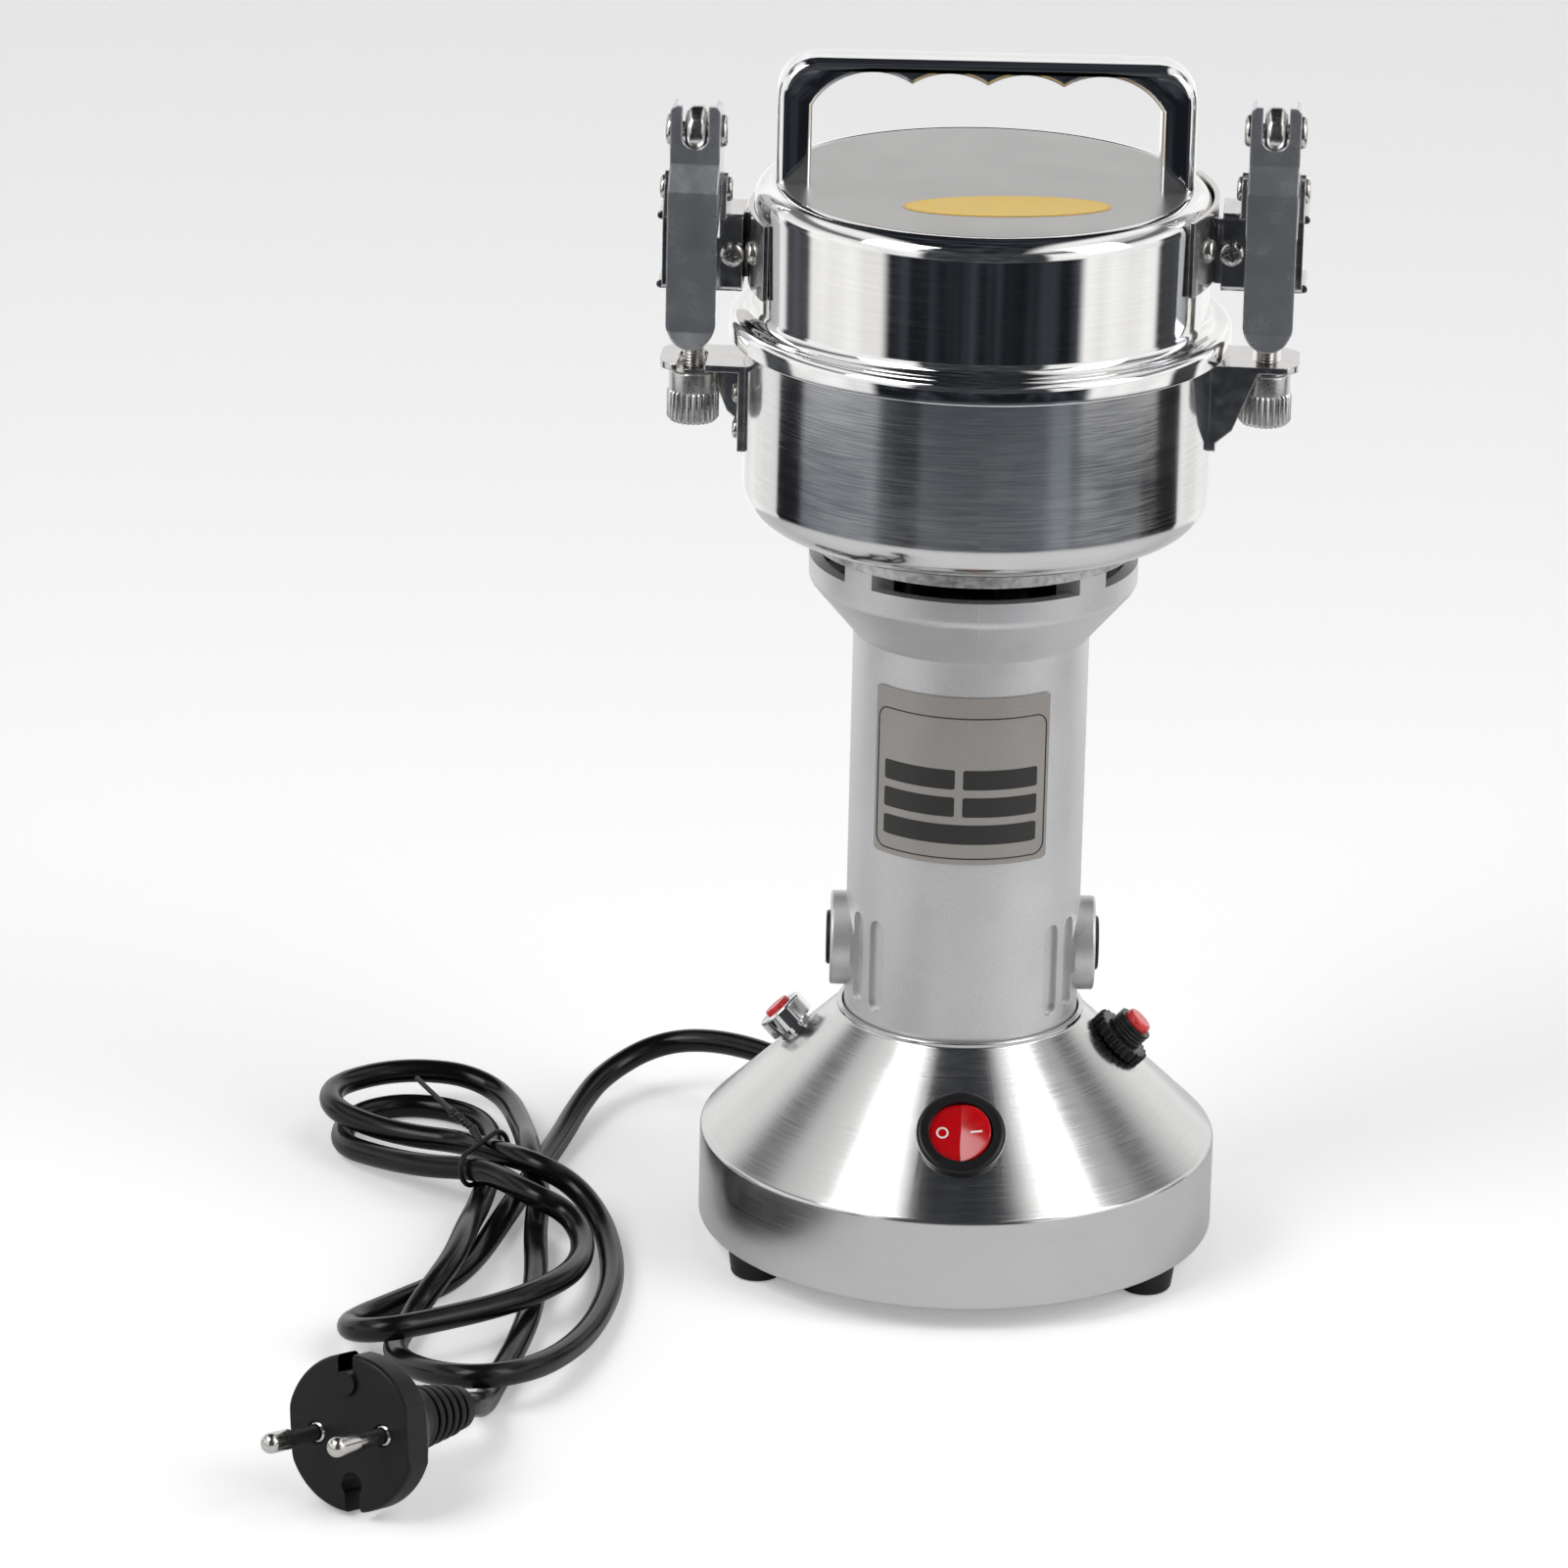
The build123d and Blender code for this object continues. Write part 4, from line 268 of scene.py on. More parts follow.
class FinishMaker:
    """Makes one procedural material for each finish, and keeps it."""

    def __init__(self) -> None:
        """Start with no materials made."""
        self.made: dict = {}

    def get(self, name: str) -> bpy.types.Material:
        """Return the material of a finish.

        Args:
            name: Key in FINISHES.

        Returns:
            The material, made at the first call.
        """
        if name not in self.made:
            self.made[name] = self._make(name, FINISHES[name])
        return self.made[name]

    def _turned_vector(self, graph: Graph, coords):
        """Coordinates that are long round the Z axis and short across it."""
        x, y, z = graph.split(coords)
        radius = graph.math("SQRT", graph.math("ADD", graph.math("MULTIPLY", x, x), graph.math("MULTIPLY", y, y)))
        turn = graph.math("ARCTAN2", x, y)
        join = graph.add("ShaderNodeCombineXYZ")
        for socket, value in zip(join.inputs, (radius, z, graph.math("MULTIPLY", turn, TURN_STRETCH))):
            graph.feed(socket, value)
        return join.outputs[0]

    def _make(self, name: str, finish: Finish) -> bpy.types.Material:
        """Build the node tree of one finish."""
        material, graph = new_material(name)
        coords = graph.add("ShaderNodeTexCoord").outputs["Object"]
        vector = self._turned_vector(graph, coords) if finish.turned else coords
        grain = graph.noise(vector, 1 / (finish.grain_mm * MM), GRAIN_DETAIL)
        cloud = graph.noise(coords, 1 / (CLOUD_MM * MM), CLOUD_DETAIL)
        shader = graph.add("ShaderNodeBsdfPrincipled")
        dark = tuple(c * (1 - 2 * finish.tint) for c in finish.color) + (1.0,)
        light = tuple(min(1.0, c * (1 + finish.tint)) for c in finish.color) + (1.0,)
        share = graph.math("ADD", graph.math("MULTIPLY", grain, GRAIN_SHARE),
                           graph.math("MULTIPLY", cloud, 1 - GRAIN_SHARE))
        graph.feed(shader.inputs["Base Color"], graph.mix(graph.ramp(share, *TEXTURE_RANGE), dark, light))
        low, high = finish.roughness - finish.spread, finish.roughness + finish.spread
        graph.feed(shader.inputs["Roughness"], graph.ramp(share, *TEXTURE_RANGE, low, high))
        for name, value in (("Metallic", finish.metallic), ("Specular IOR Level", finish.shine),
                            ("Coat Weight", finish.coat), ("Coat Roughness", COAT_ROUGHNESS),
                            ("Transmission Weight", finish.clear)):
            shader.inputs[name].default_value = value
        if finish.anisotropy:
            shader.inputs["Anisotropic"].default_value = finish.anisotropy
            shader.inputs["Anisotropic Rotation"].default_value = TURNED_ROTATION
            tangent = graph.add("ShaderNodeTangent", direction_type="RADIAL", axis="Z")
            graph.feed(shader.inputs["Tangent"], tangent.outputs[0])
        bump = graph.add("ShaderNodeBump")
        graph.feed(bump.inputs["Height"], grain)
        graph.feed(bump.inputs["Distance"], finish.bump_mm * MM)
        if finish.edge_mm:
            bevel = graph.add("ShaderNodeBevel", samples=EDGE_SAMPLES)
            graph.feed(bevel.inputs["Radius"], finish.edge_mm * MM)
            graph.feed(bump.inputs["Normal"], bevel.outputs[0])
        graph.feed(shader.inputs["Normal"], bump.outputs[0])
        graph.close(shader)
        return material


MAKER = FinishMaker()


@dataclass
class Form:
    """Vertices in millimetres with the faces between them."""

    verts: np.ndarray
    faces: list = field(default_factory=list)

    def moved(self, matrix: Matrix) -> "Form":
        """Return a copy placed by a matrix in millimetres."""
        square = np.array(matrix)
        return Form(self.verts @ square[:3, :3].T + square[:3, 3], self.faces)

    def plus(self, other: "Form") -> "Form":
        """Return both forms as one."""
        shift = len(self.verts)
        return Form(np.vstack([self.verts, other.verts]),
                    self.faces + [tuple(i + shift for i in f) for f in other.faces])


def rounded(points: Sequence[Point], radii: Sequence[float], closed: bool = False) -> np.ndarray:
    """Replace an outline's corners by arcs.

    Args:
        points: Corners of the outline, in order.
        radii: One radius for each corner; zero keeps it sharp.
        closed: Whether the last corner joins the first.

    Returns:
        The outline's points, arcs included.
    """
    corners = [np.array(p, float) for p in points]
    count = len(corners)
    out = []
    for k, (corner, radius) in enumerate(zip(corners, radii)):
        inner = closed or 0 < k < count - 1
        if not inner or radius <= 0:
            out.append(corner)
            continue
        back = corners[k - 1] - corner
        ahead = corners[(k + 1) % count] - corner
        reach = min(np.linalg.norm(back), np.linalg.norm(ahead))
        back, ahead = back / np.linalg.norm(back), ahead / np.linalg.norm(ahead)
        half = math.acos(float(np.clip(back @ ahead, -1, 1))) / 2
        run = min(radius / math.tan(half), reach * CORNER_SHARE)
        radius = run * math.tan(half)
        middle = corner + (back + ahead) / np.linalg.norm(back + ahead) * radius / math.sin(half)
        start, end = corner + back * run - middle, corner + ahead * run - middle
        sweep = math.pi - 2 * half
        for step in range(ARC_STEPS + 1):
            share = step / ARC_STEPS
            arc = (start * math.sin((1 - share) * sweep) + end * math.sin(share * sweep)) / math.sin(sweep)
            out.append(middle + arc)
    return np.array(out)


def grid(rows: int, count: int, looped: bool = False, closed: bool = True) -> list:
    """Faces between rows of points that follow each other.

    Args:
        rows: Number of rows.
        count: Points in each row.
        looped: Whether the last row joins the first.
        closed: Whether the end of each row joins its start.

    Returns:
        The faces, as tuples of point numbers.
    """
    faces = []
    for row in range(rows if looped else rows - 1):
        low, high = row * count, (row + 1) % rows * count
        for k in range(count if closed else count - 1):
            ahead = (k + 1) % count
            faces.append((low + k, low + ahead, high + ahead, high + k))
    return faces


def around(count: int) -> np.ndarray:
    """Even angles once round a circle."""
    return np.linspace(0, 2 * math.pi, count, endpoint=False)


def polar(radius: float, angles: np.ndarray, *heights: float) -> np.ndarray:
    """Points at a radius and angles in radians, with a height where one is given."""
    columns = [radius * np.cos(angles), radius * np.sin(angles)]
    return np.column_stack(columns + [np.full(len(angles), height) for height in heights])


def lathe(profile: Sequence[Point], segments: int, closed: bool = False) -> Form:
    """Turn an outline of (radius, height) about the Z axis."""
    turns = around(segments)
    radius, height = np.array(profile).T
    verts = np.stack([
        np.outer(radius, np.cos(turns)), np.outer(radius, np.sin(turns)),
        np.repeat(height[:, None], segments, 1)], axis=2).reshape(-1, 3)
    return Form(verts, grid(len(radius), segments, looped=closed))


def prism(outline: np.ndarray, low: float, high: float) -> Form:
    """Give a flat outline in X and Y a thickness along Z."""
    count = len(outline)
    floor = np.column_stack([outline, np.full(count, low)])
    roof = np.column_stack([outline, np.full(count, high)])
    caps = [tuple(reversed(range(count))), tuple(range(count, 2 * count))]
    return Form(np.vstack([floor, roof]), caps + grid(2, count))


def circle(radius: float, count: int, centre: Point = (0, 0)) -> np.ndarray:
    """Points round a circle."""
    return np.array(centre) + polar(radius, around(count))


def rectangle(width: float, height: float, radius: float) -> np.ndarray:
    """Outline of a rectangle with rounded corners about the origin."""
    x, y = width / 2, height / 2
    return rounded([(-x, -y), (x, -y), (x, y), (-x, y)], [radius] * 4, closed=True)


def shift(x: float, y: float, z: float) -> Matrix:
    """Move along the axes."""
    return Matrix.Translation((x, y, z))


def spin(axis: str, degrees: float) -> Matrix:
    """Rotation about one axis, in degrees."""
    return Matrix.Rotation(math.radians(degrees), 4, axis)


def on_column(outline: np.ndarray, radius: float, centre_deg: float, height: float) -> Form:
    """Wrap a flat patch round the Z axis, as a grid of columns so that it bends.

    Args:
        outline: Closed convex outline; X runs round the axis and Y up.
        radius: Radius at which the patch lies.
        centre_deg: Azimuth of the patch's middle.
        height: Height of the patch's middle.

    Returns:
        The curved patch.
    """
    xs = np.linspace(outline[:, 0].min(), outline[:, 0].max(), PATCH_COLUMNS)
    spans = []
    for x in xs:
        hits = []
        for (x0, y0), (x1, y1) in zip(outline, np.roll(outline, -1, 0)):
            if min(x0, x1) - NEAR <= x <= max(x0, x1) + NEAR:
                upright = abs(x1 - x0) <= UPRIGHT
                hits += [y0, y1] if upright else [y0 + (x - x0) / (x1 - x0) * (y1 - y0)]
        spans.append((min(hits), max(hits)))
    angles = np.radians(centre_deg) + xs / radius
    rows = [polar(radius, angles, [height + span[pick] for span in spans]) for pick in (0, 1)]
    return Form(np.vstack(rows), grid(2, len(xs), closed=False))


def rolled(outline: np.ndarray, rolls: np.ndarray, half: float, foot: float, steps: int) -> Form:
    """Give an upright outline a depth along Y, with a quarter-round edge of its own at each point.

    Args:
        outline: Closed outline in X and Z, clockwise seen from the front.
        rolls: Edge radius at each point.
        half: Half of the depth.
        foot: Height at which the outline stands, kept flat.
        steps: Rows in each rounded edge.

    Returns:
        The closed form.
    """
    ahead = np.roll(outline, -1, 0) - outline
    behind = outline - np.roll(outline, 1, 0)
    way = ahead / np.linalg.norm(ahead, axis=1)[:, None] + behind / np.linalg.norm(behind, axis=1)[:, None]
    way /= np.linalg.norm(way, axis=1)[:, None]
    inward = np.column_stack([way[:, 1], -way[:, 0]])
    standing = outline[:, 1] < foot + 0.01
    leg_side = np.where(rolls[standing] > rolls.mean(), -1, 1)
    inward[standing] = np.column_stack([leg_side * np.sign(outline[standing, 0]), np.zeros(standing.sum())])
    rows = []
    for side in (-1, 1):
        for angle in np.linspace(0, math.pi / 2, steps + 1)[::side]:
            inset = outline + inward * (rolls * (1 - math.cos(angle)))[:, None]
            depth = side * (half - rolls * (1 - math.sin(angle)))
            rows.append(np.column_stack([inset[:, 0], depth, inset[:, 1]]))
    count, last = len(outline), len(rows) - 1
    ends = [tuple(range(count)), tuple(range(last * count, (last + 1) * count))]
    return Form(np.vstack(rows), grid(len(rows), count) + ends)


def three_point_arc(a: np.ndarray, b: np.ndarray, c: np.ndarray, count: int) -> np.ndarray:
    """Points along the arc that goes through three points."""
    mat = np.array([b - a, c - b]) * 2
    centre = np.linalg.solve(mat, [b @ b - a @ a, c @ c - b @ b])
    angles = np.unwrap([math.atan2(*(p - centre)[::-1]) for p in (a, b, c)])
    return centre + polar(np.linalg.norm(a - centre), np.linspace(angles[0], angles[2], count))


def mesh_of(name: str, form: Form) -> bpy.types.Mesh:
    """Make a mesh of a form, in metres, with its faces turned outwards."""
    mesh = bpy.data.meshes.new(name)
    mesh.from_pydata((form.verts * MM).tolist(), [], form.faces)
    work = bmesh.new()
    work.from_mesh(mesh)
    bmesh.ops.remove_doubles(work, verts=work.verts, dist=MERGE_M)
    bmesh.ops.dissolve_degenerate(work, edges=work.edges, dist=MERGE_M)
    bmesh.ops.recalc_face_normals(work, faces=work.faces)
    work.to_mesh(mesh)
    work.free()
    return mesh


def linked(name: str, data: bpy.types.ID) -> bpy.types.Object:
    """Put new data into the scene as an object."""
    obj = bpy.data.objects.new(name, data)
    bpy.context.scene.collection.objects.link(obj)
    return obj


def settle(piece: bpy.types.Object, body: str, node: str) -> bpy.types.Object:
    """Let a piece ride on a body and stand for its node, if it has one."""
    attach(piece, body)
    if node:
        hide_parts(node)
    return piece


def build(name: str, form: Form, finish: str, body: str = "machine", node: str = "",
          bevel_mm: float = 0.0, smooth_deg: float = 35.0, cutters: Iterable[Form] = ()) -> bpy.types.Object:
    """Make a mesh object of a form, cut and bevel it, and give it its finish.

    Args:
        name: Name of the piece.
        form: Its form in millimetres.
        finish: Key in FINISHES.
        body: Body that it rides on.
        node: CAD node that it stands for, if any.
        bevel_mm: Width of the bevel on sharp edges.
        smooth_deg: Angle under which edges are shaded smooth.
        cutters: Forms taken away from it.

    Returns:
        The new object, with all modifiers applied.
    """
    obj = linked(name, mesh_of(name, form))
    tools = []
    for k, cutter in enumerate(cutters):
        tools.append(linked(f"{name}_cut{k}", mesh_of(f"{name}_cut{k}", cutter)))
        cut = obj.modifiers.new(f"cut{k}", "BOOLEAN")
        cut.operation, cut.solver, cut.object = "DIFFERENCE", "EXACT", tools[-1]
    if bevel_mm:
        bevel = obj.modifiers.new("bevel", "BEVEL")
        bevel.width, bevel.segments, bevel.limit_method = bevel_mm * MM, BEVEL_STEPS, "ANGLE"
        bevel.angle_limit = math.radians(BEVEL_FROM_DEG)
    if obj.modifiers:
        bpy.context.view_layer.update()
        graph = bpy.context.evaluated_depsgraph_get()
        done = bpy.data.meshes.new_from_object(obj.evaluated_get(graph))
        obj.modifiers.clear()
        obj.data = done
    for tool in tools:
        bpy.data.objects.remove(tool)
    obj.data.materials.clear()
    obj.data.materials.append(MAKER.get(finish))
    obj.data.shade_smooth()
    obj.data.set_sharp_from_angle(angle=math.radians(smooth_deg))
    return settle(obj, body, node)


def tube(name: str, points: Iterable[Point], radius: float, finish: str, node: str = "",
         order: int = 3) -> bpy.types.Object:
    """Make a round wire or cord along one smooth curve, in millimetres; it rides on the machine."""
    points = list(points)
    data = bpy.data.curves.new(name, "CURVE")
    data.dimensions = "3D"
    data.bevel_depth = radius * MM
    data.bevel_resolution = TUBE_ROUND
    data.use_fill_caps = True
    spline = data.splines.new("NURBS")
    spline.points.add(len(points) - 1)
    for spot, point in zip(spline.points, points):
        spot.co = (*(c * MM for c in point), 1.0)
    spline.order_u = order
    spline.use_endpoint_u = True
    spline.resolution_u = TUBE_STEPS
    data.materials.append(MAKER.get(finish))
    return settle(linked(name, data), "machine", node)


# Sizes that the pieces share with the model
RIM_R, RIM_LOW, SHOULDER_Z = 63.85, 6.4, 29.2
NECK_R, NECK_Z, NECK_TOP = 30.4, 61.4, 62.6
SHEET = 1.2
CONE_TILT = math.degrees(math.atan((NECK_Z - SHOULDER_Z) / (RIM_R - NECK_R)))
COLUMN_R = 28.8
LID_TOP, LID_R, LID_FOOT_R, FLARE_Z, FLANGE_R, FLANGE_LOW = 272.0, 55.0, 54.6, 239.5, 60.4, 234.0
BOWL_R, BOWL_LOW, BOWL_TOP, BOWL_FLANGE_R, BOWL_WALL = 56.6, 188.5, 236.0, 58.9, 1.3
HANDLE_HALF, HANDLE_LEG, HANDLE_TOP, HANDLE_DEPTH = 50.0, 8.4, 302.7, 13.0
CLAMP_R, CLAMP_TURN = 69.0, -4.0
PIVOT_Z = {"right": 272.9, "left": 267.7}
EAR_Z = {"right": 231.2, "left": 226.0}
SIGN = {"right": 1.0, "left": -1.0}
ROD_Y, ROD_R, EYE_RISE, EYE_R, EYE_W, PIN_R = -0.8, 2.7, 14.5, 6.0, 5.6, 2.0
NUT_TOP_DROP, NUT_H, NUT_R, NUT_COLLAR_R, NUT_COLLAR_H = 3.0, 13.0, 6.35, 5.9, 4.8
CORD_R = 3.0
GLAND_AZIMUTH, GLAND_Z, GLAND_REACH = 120.0, 17.0, 9.0
# azimuth and distance from the axis of what stands on the cone
ROCKER_AT, JOG_AT, RESET_AT = (-90.0, 47.0), (168.0, 41.2), (-3.0, 38.8)
# radius at which an outline starts when it is turned about its own axis
AXIS = 0.01
PLAY = 0.05


def cone_frame(azimuth: float, radius: float) -> Matrix:
    """Frame on the base's cone, with Z along its outward normal."""
    height = SHOULDER_Z + (RIM_R - radius) * math.tan(math.radians(CONE_TILT))
    return spin("Z", azimuth) @ shift(radius, 0, height) @ spin("Y", CONE_TILT)


def clamp_frame(side: str, height: float, y: float = 0.0) -> Matrix:
    """Frame of one clamp at a height; X runs along the line through both clamps."""
    return spin("Z", CLAMP_TURN) @ shift(SIGN[side] * CLAMP_R, y, height)


class BaseCone:
    """Spun steel base with its rolled shoulder and the holes for what stands on it."""

    LIP_R = 52.0
    ROUNDS = (0, 0.8, 2.0, 0.8, 0.3, 0.3, 0, 1.5, 0.5, 0)
    HOLES = ((*ROCKER_AT, 9.4), (*JOG_AT, 4.75), (*RESET_AT, 4.95))
    GLAND_HOLE_R = 5.75
    CUT_HALF = 8

    def build(self) -> None:
        """Make the base shell."""
        inner, lip = RIM_R - SHEET, NECK_R - SHEET
        tilt = math.radians(CONE_TILT)
        under = [(r, SHOULDER_Z + (RIM_R - r) * math.tan(tilt) - SHEET / math.cos(tilt)) for r in (lip, inner)]
        outline = rounded([
            (self.LIP_R, RIM_LOW), (RIM_R, RIM_LOW), (RIM_R, SHOULDER_Z), (NECK_R, NECK_Z), (NECK_R, NECK_TOP),
            (lip, NECK_TOP), *under, (inner, RIM_LOW + SHEET), (self.LIP_R, RIM_LOW + SHEET)],
            self.ROUNDS, closed=True)
        frames = [(cone_frame(azimuth, radius), size) for azimuth, radius, size in self.HOLES]
        frames.append((spin("Z", GLAND_AZIMUTH) @ shift(RIM_R, 0, GLAND_Z) @ spin("Y", 90), self.GLAND_HOLE_R))
        cutters = [prism(circle(size, 64), -self.CUT_HALF, self.CUT_HALF).moved(frame) for frame, size in frames]
        build("base_cone", lathe(outline, 220, closed=True), "brushed_base", node="base_shell",
              smooth_deg=50, cutters=cutters)


class Bowl:
    """Turned steel bowl under the lid."""

    CORNER, EDGE, FLANGE_T, HOLE_R = 9.0, 0.4, 1.2, 12.05

    def build(self) -> None:
        """Make the bowl with its rim."""
        inner, floor, ledge = BOWL_R - BOWL_WALL, BOWL_LOW + BOWL_WALL, BOWL_TOP - self.FLANGE_T
        outline = rounded([
            (self.HOLE_R, BOWL_LOW), (BOWL_R, BOWL_LOW), (BOWL_R, ledge), (BOWL_FLANGE_R, ledge),
            (BOWL_FLANGE_R, BOWL_TOP), (inner, BOWL_TOP), (inner, floor), (self.HOLE_R, floor)],
            [0, self.CORNER, *[self.EDGE] * 4, self.CORNER - BOWL_WALL, 0], closed=True)
        build("bowl_shell", lathe(outline, 220, closed=True), "turned_bowl", node="bowl",
              smooth_deg=50)


class Lid:
    """Polished lid, its satin disc and the blank oval sticker."""

    WALL, STEP_Z = 1.3, 238.2
    ROUNDS = (0, 0.2, 0.2, 5.5, 3.0, 2.2, 0.4, 0.4, 0.8, 0.6, 4.2, 0)
    DISC_R, DISC_LIFT, GROOVE_W, GROOVE_RISE = 49.6, 0.05, 0.5, 0.12
    STICKER_CENTRE, STICKER_HALF, STICKER_TURN, STICKER_T = (5.0, -22.1), (24.85, 9.1), 4.7, 0.12
    # piece, finish, share of the oval, share of the thickness
    STICKER = (("lid_sticker_edge", "sticker_edge", 1.0, 1.0), ("lid_sticker_face", "sticker", 0.965, 1.35))

    def build(self) -> None:
        """Make the shell, disc and sticker."""
        top, wall, disc_r, lifted = LID_TOP, self.WALL, self.DISC_R, LID_TOP + self.DISC_LIFT
        outline = rounded([
            (AXIS, top), (disc_r, top), (disc_r + self.GROOVE_W, top + self.GROOVE_RISE), (LID_R, top),
            (LID_FOOT_R, FLARE_Z), (FLANGE_R, FLARE_Z), (FLANGE_R, FLANGE_LOW), (FLANGE_R - wall, FLANGE_LOW),
            (FLANGE_R - wall, self.STEP_Z), (LID_FOOT_R - wall, self.STEP_Z), (LID_R - wall, top - wall),
            (AXIS, top - wall)], self.ROUNDS)
        build("lid_shell_polished", lathe(outline, 240), "polished_lid", "lid", "lid_shell",
              smooth_deg=50)
        disc = rounded([(AXIS, lifted), (disc_r - 0.4, lifted), (disc_r, top - 0.2)], [0, 0.1, 0])
        build("lid_disc", lathe(disc, 200), "satin_disc", "lid")
        frame = shift(*self.STICKER_CENTRE, lifted) @ spin("Z", self.STICKER_TURN)
        for name, finish, grow, lift in self.STICKER:
            oval = circle(1.0, 96) * np.array(self.STICKER_HALF) * grow
            build(name, prism(oval, 0, self.STICKER_T * lift).moved(frame), finish, "lid")


class Handle:
    """Chromed arch handle with three finger rests and rolled edges."""

    CORNER, OUTER_ROLL, INNER_ROLL, STEPS = 9.5, 2.7, 1.2, 6
    GRIP = ((41.6, 291.5), (28.5, 299.7), (18.0, 297.0), (9.0, 299.7), (0.0, 297.0))
    REST_POINTS = 14

    def _underside(self) -> list:
        """Points of the finger rests from +X to -X."""
        spots = [np.array(p) for p in self.GRIP]
        right = []
        for first in (0, 2):
            right += list(three_point_arc(*spots[first:first + 3], self.REST_POINTS)[:-1])
        right.append(spots[4])
        return right + [np.array((-p[0], p[1])) for p in reversed(right[:-1])]

    def build(self) -> None:
        """Make the arch."""
        inner_x = HANDLE_HALF - HANDLE_LEG
        outer = rounded([(-HANDLE_HALF, LID_TOP), (-HANDLE_HALF, HANDLE_TOP), (HANDLE_HALF, HANDLE_TOP),
                         (HANDLE_HALF, LID_TOP)], [0, self.CORNER, self.CORNER, 0])
        inner = np.vstack([[(inner_x, LID_TOP)], self._underside(), [(-inner_x, LID_TOP)]])
        rolls = np.array([self.OUTER_ROLL] * len(outer) + [self.INNER_ROLL] * len(inner))
        form = rolled(np.vstack([outer, inner]), rolls, HANDLE_DEPTH / 2, LID_TOP, self.STEPS)
        build("handle_arch", form, "mirror_chrome", "lid", "handle", smooth_deg=38)


class Clamp:
    """The turned pieces of one clamp: eye bolt, knurled nut and screw."""

    PITCH, THREAD_DEPTH, ROD_PAST_NUT, SHANK = 0.8, 0.38, 1.5, 1.0
    EYE_ROUNDS = (0.4, 2.1, 2.1, 0.4)
    FLUTES, FLUTE_DEPTH = 26, 0.62
    # 0 at the knurl's foot or 1 at its top, rise from there, change of radius
    NUT_ROWS = ((0, 0.0, -0.9), (0, 0.7, -0.25), (0, 1.0, 0.0), (1, -1.0, 0.0), (1, -0.5, -0.25), (1, 0.0, -0.8))
    SCREW_U, SCREW_Y, SCREW_Z, SCREW_TURN = -9.4, -6.2, -14.4, 18.0
    SCREW = ((AXIS, -4), (1.6, -4), (1.6, 0), (3.1, 0), (3.1, 2.0), (AXIS, 2.0))
    SCREW_ROUNDS = (0, 0, 0, 0.2, 1.7, 0)
    CROSS = ((3.6, 0.7), (0.7, 3.6))

    def __init__(self, side: str) -> None:
        """Keep the side, right or left, and the heights that follow from it."""
        self.side = side
        self.eye_z = PIVOT_Z[side] + EYE_RISE
        self.nut_top = EAR_Z[side] - NUT_TOP_DROP

    def build(self) -> None:
        """Make the bolt, the nut and the screw head."""
        self._bolt()
        self._nut()
        self._screw()

    def _bolt(self) -> None:
        """Threaded rod with a rounded eye."""
        low = self.nut_top - NUT_H + self.ROD_PAST_NUT - self.eye_z
        root = ROD_R - self.THREAD_DEPTH
        rings = [(AXIS, low), (root, low)]
        for k in range(int((-EYE_R - self.SHANK - low) / self.PITCH)):
            z = low + k * self.PITCH
            rings += [(ROD_R, z + self.PITCH * 0.4), (root, z + self.PITCH * 0.9)]
        rings += [(ROD_R, -EYE_R - 0.6), (ROD_R, -EYE_R * 0.5), (AXIS, -EYE_R * 0.5)]
        eye = rounded([(PIN_R + PLAY, -EYE_W / 2), (EYE_R, -EYE_W / 2), (EYE_R, EYE_W / 2),
                       (PIN_R + PLAY, EYE_W / 2)], self.EYE_ROUNDS, closed=True)
        form = lathe(rings, 32).plus(lathe(eye, 56, closed=True).moved(spin("Y", 90)))
        build(f"eye_bolt_{self.side}_threaded", form.moved(clamp_frame(self.side, self.eye_z, ROD_Y)), "nickel",
              f"{self.side}_bolt", f"eye_bolt_{self.side}", smooth_deg=40)

    def _nut(self) -> None:
        """Nut with a plain collar and a straight knurl."""
        top, bore = self.nut_top, ROD_R + PLAY
        low, high = top - NUT_H, top - NUT_COLLAR_H
        collar = rounded([(bore, high - 0.4), (NUT_COLLAR_R, high - 0.4), (NUT_COLLAR_R, top - PLAY),
                          (bore, top - PLAY)], [0, 0.2, 0.7, 0.2], closed=True)
        turns = around(self.FLUTES * 6)
        flutes = (1 - np.sqrt(0.5 + 0.5 * np.cos(turns * self.FLUTES))) * self.FLUTE_DEPTH
        rows = [polar(NUT_R + grow - flutes, turns, (low, high)[end] + rise) for end, rise, grow in self.NUT_ROWS]
        rows += [polar(bore, turns, z) for z in (high, low)]
        knurl = Form(np.vstack(rows), grid(len(rows), len(turns), looped=True))
        form = lathe(collar, 64, closed=True).plus(knurl).moved(clamp_frame(self.side, 0, ROD_Y))
        build(f"knurled_nut_{self.side}_fluted", form, "zinc_knurl", f"{self.side}_nut",
              f"knurled_nut_{self.side}", smooth_deg=28)

    def _screw(self) -> None:
        """Pan-head screw with a cross recess, in the clamp base's box."""
        frame = clamp_frame(self.side, PIVOT_Z[self.side] + self.SCREW_Z, self.SCREW_Y)
        frame = frame @ shift(SIGN[self.side] * self.SCREW_U, 0, 0) @ spin("X", 90)
        cross = [prism(rectangle(*size, 0.1), 1.0, 3.0).moved(frame @ spin("Z", self.SCREW_TURN))
                 for size in self.CROSS]
        head = lathe(rounded(self.SCREW, self.SCREW_ROUNDS), 48)
        build(f"clamp_screw_{self.side}", head.moved(frame), "nickel", "lid",
              "clamp_screws" if self.side == "right" else "", cutters=cross)


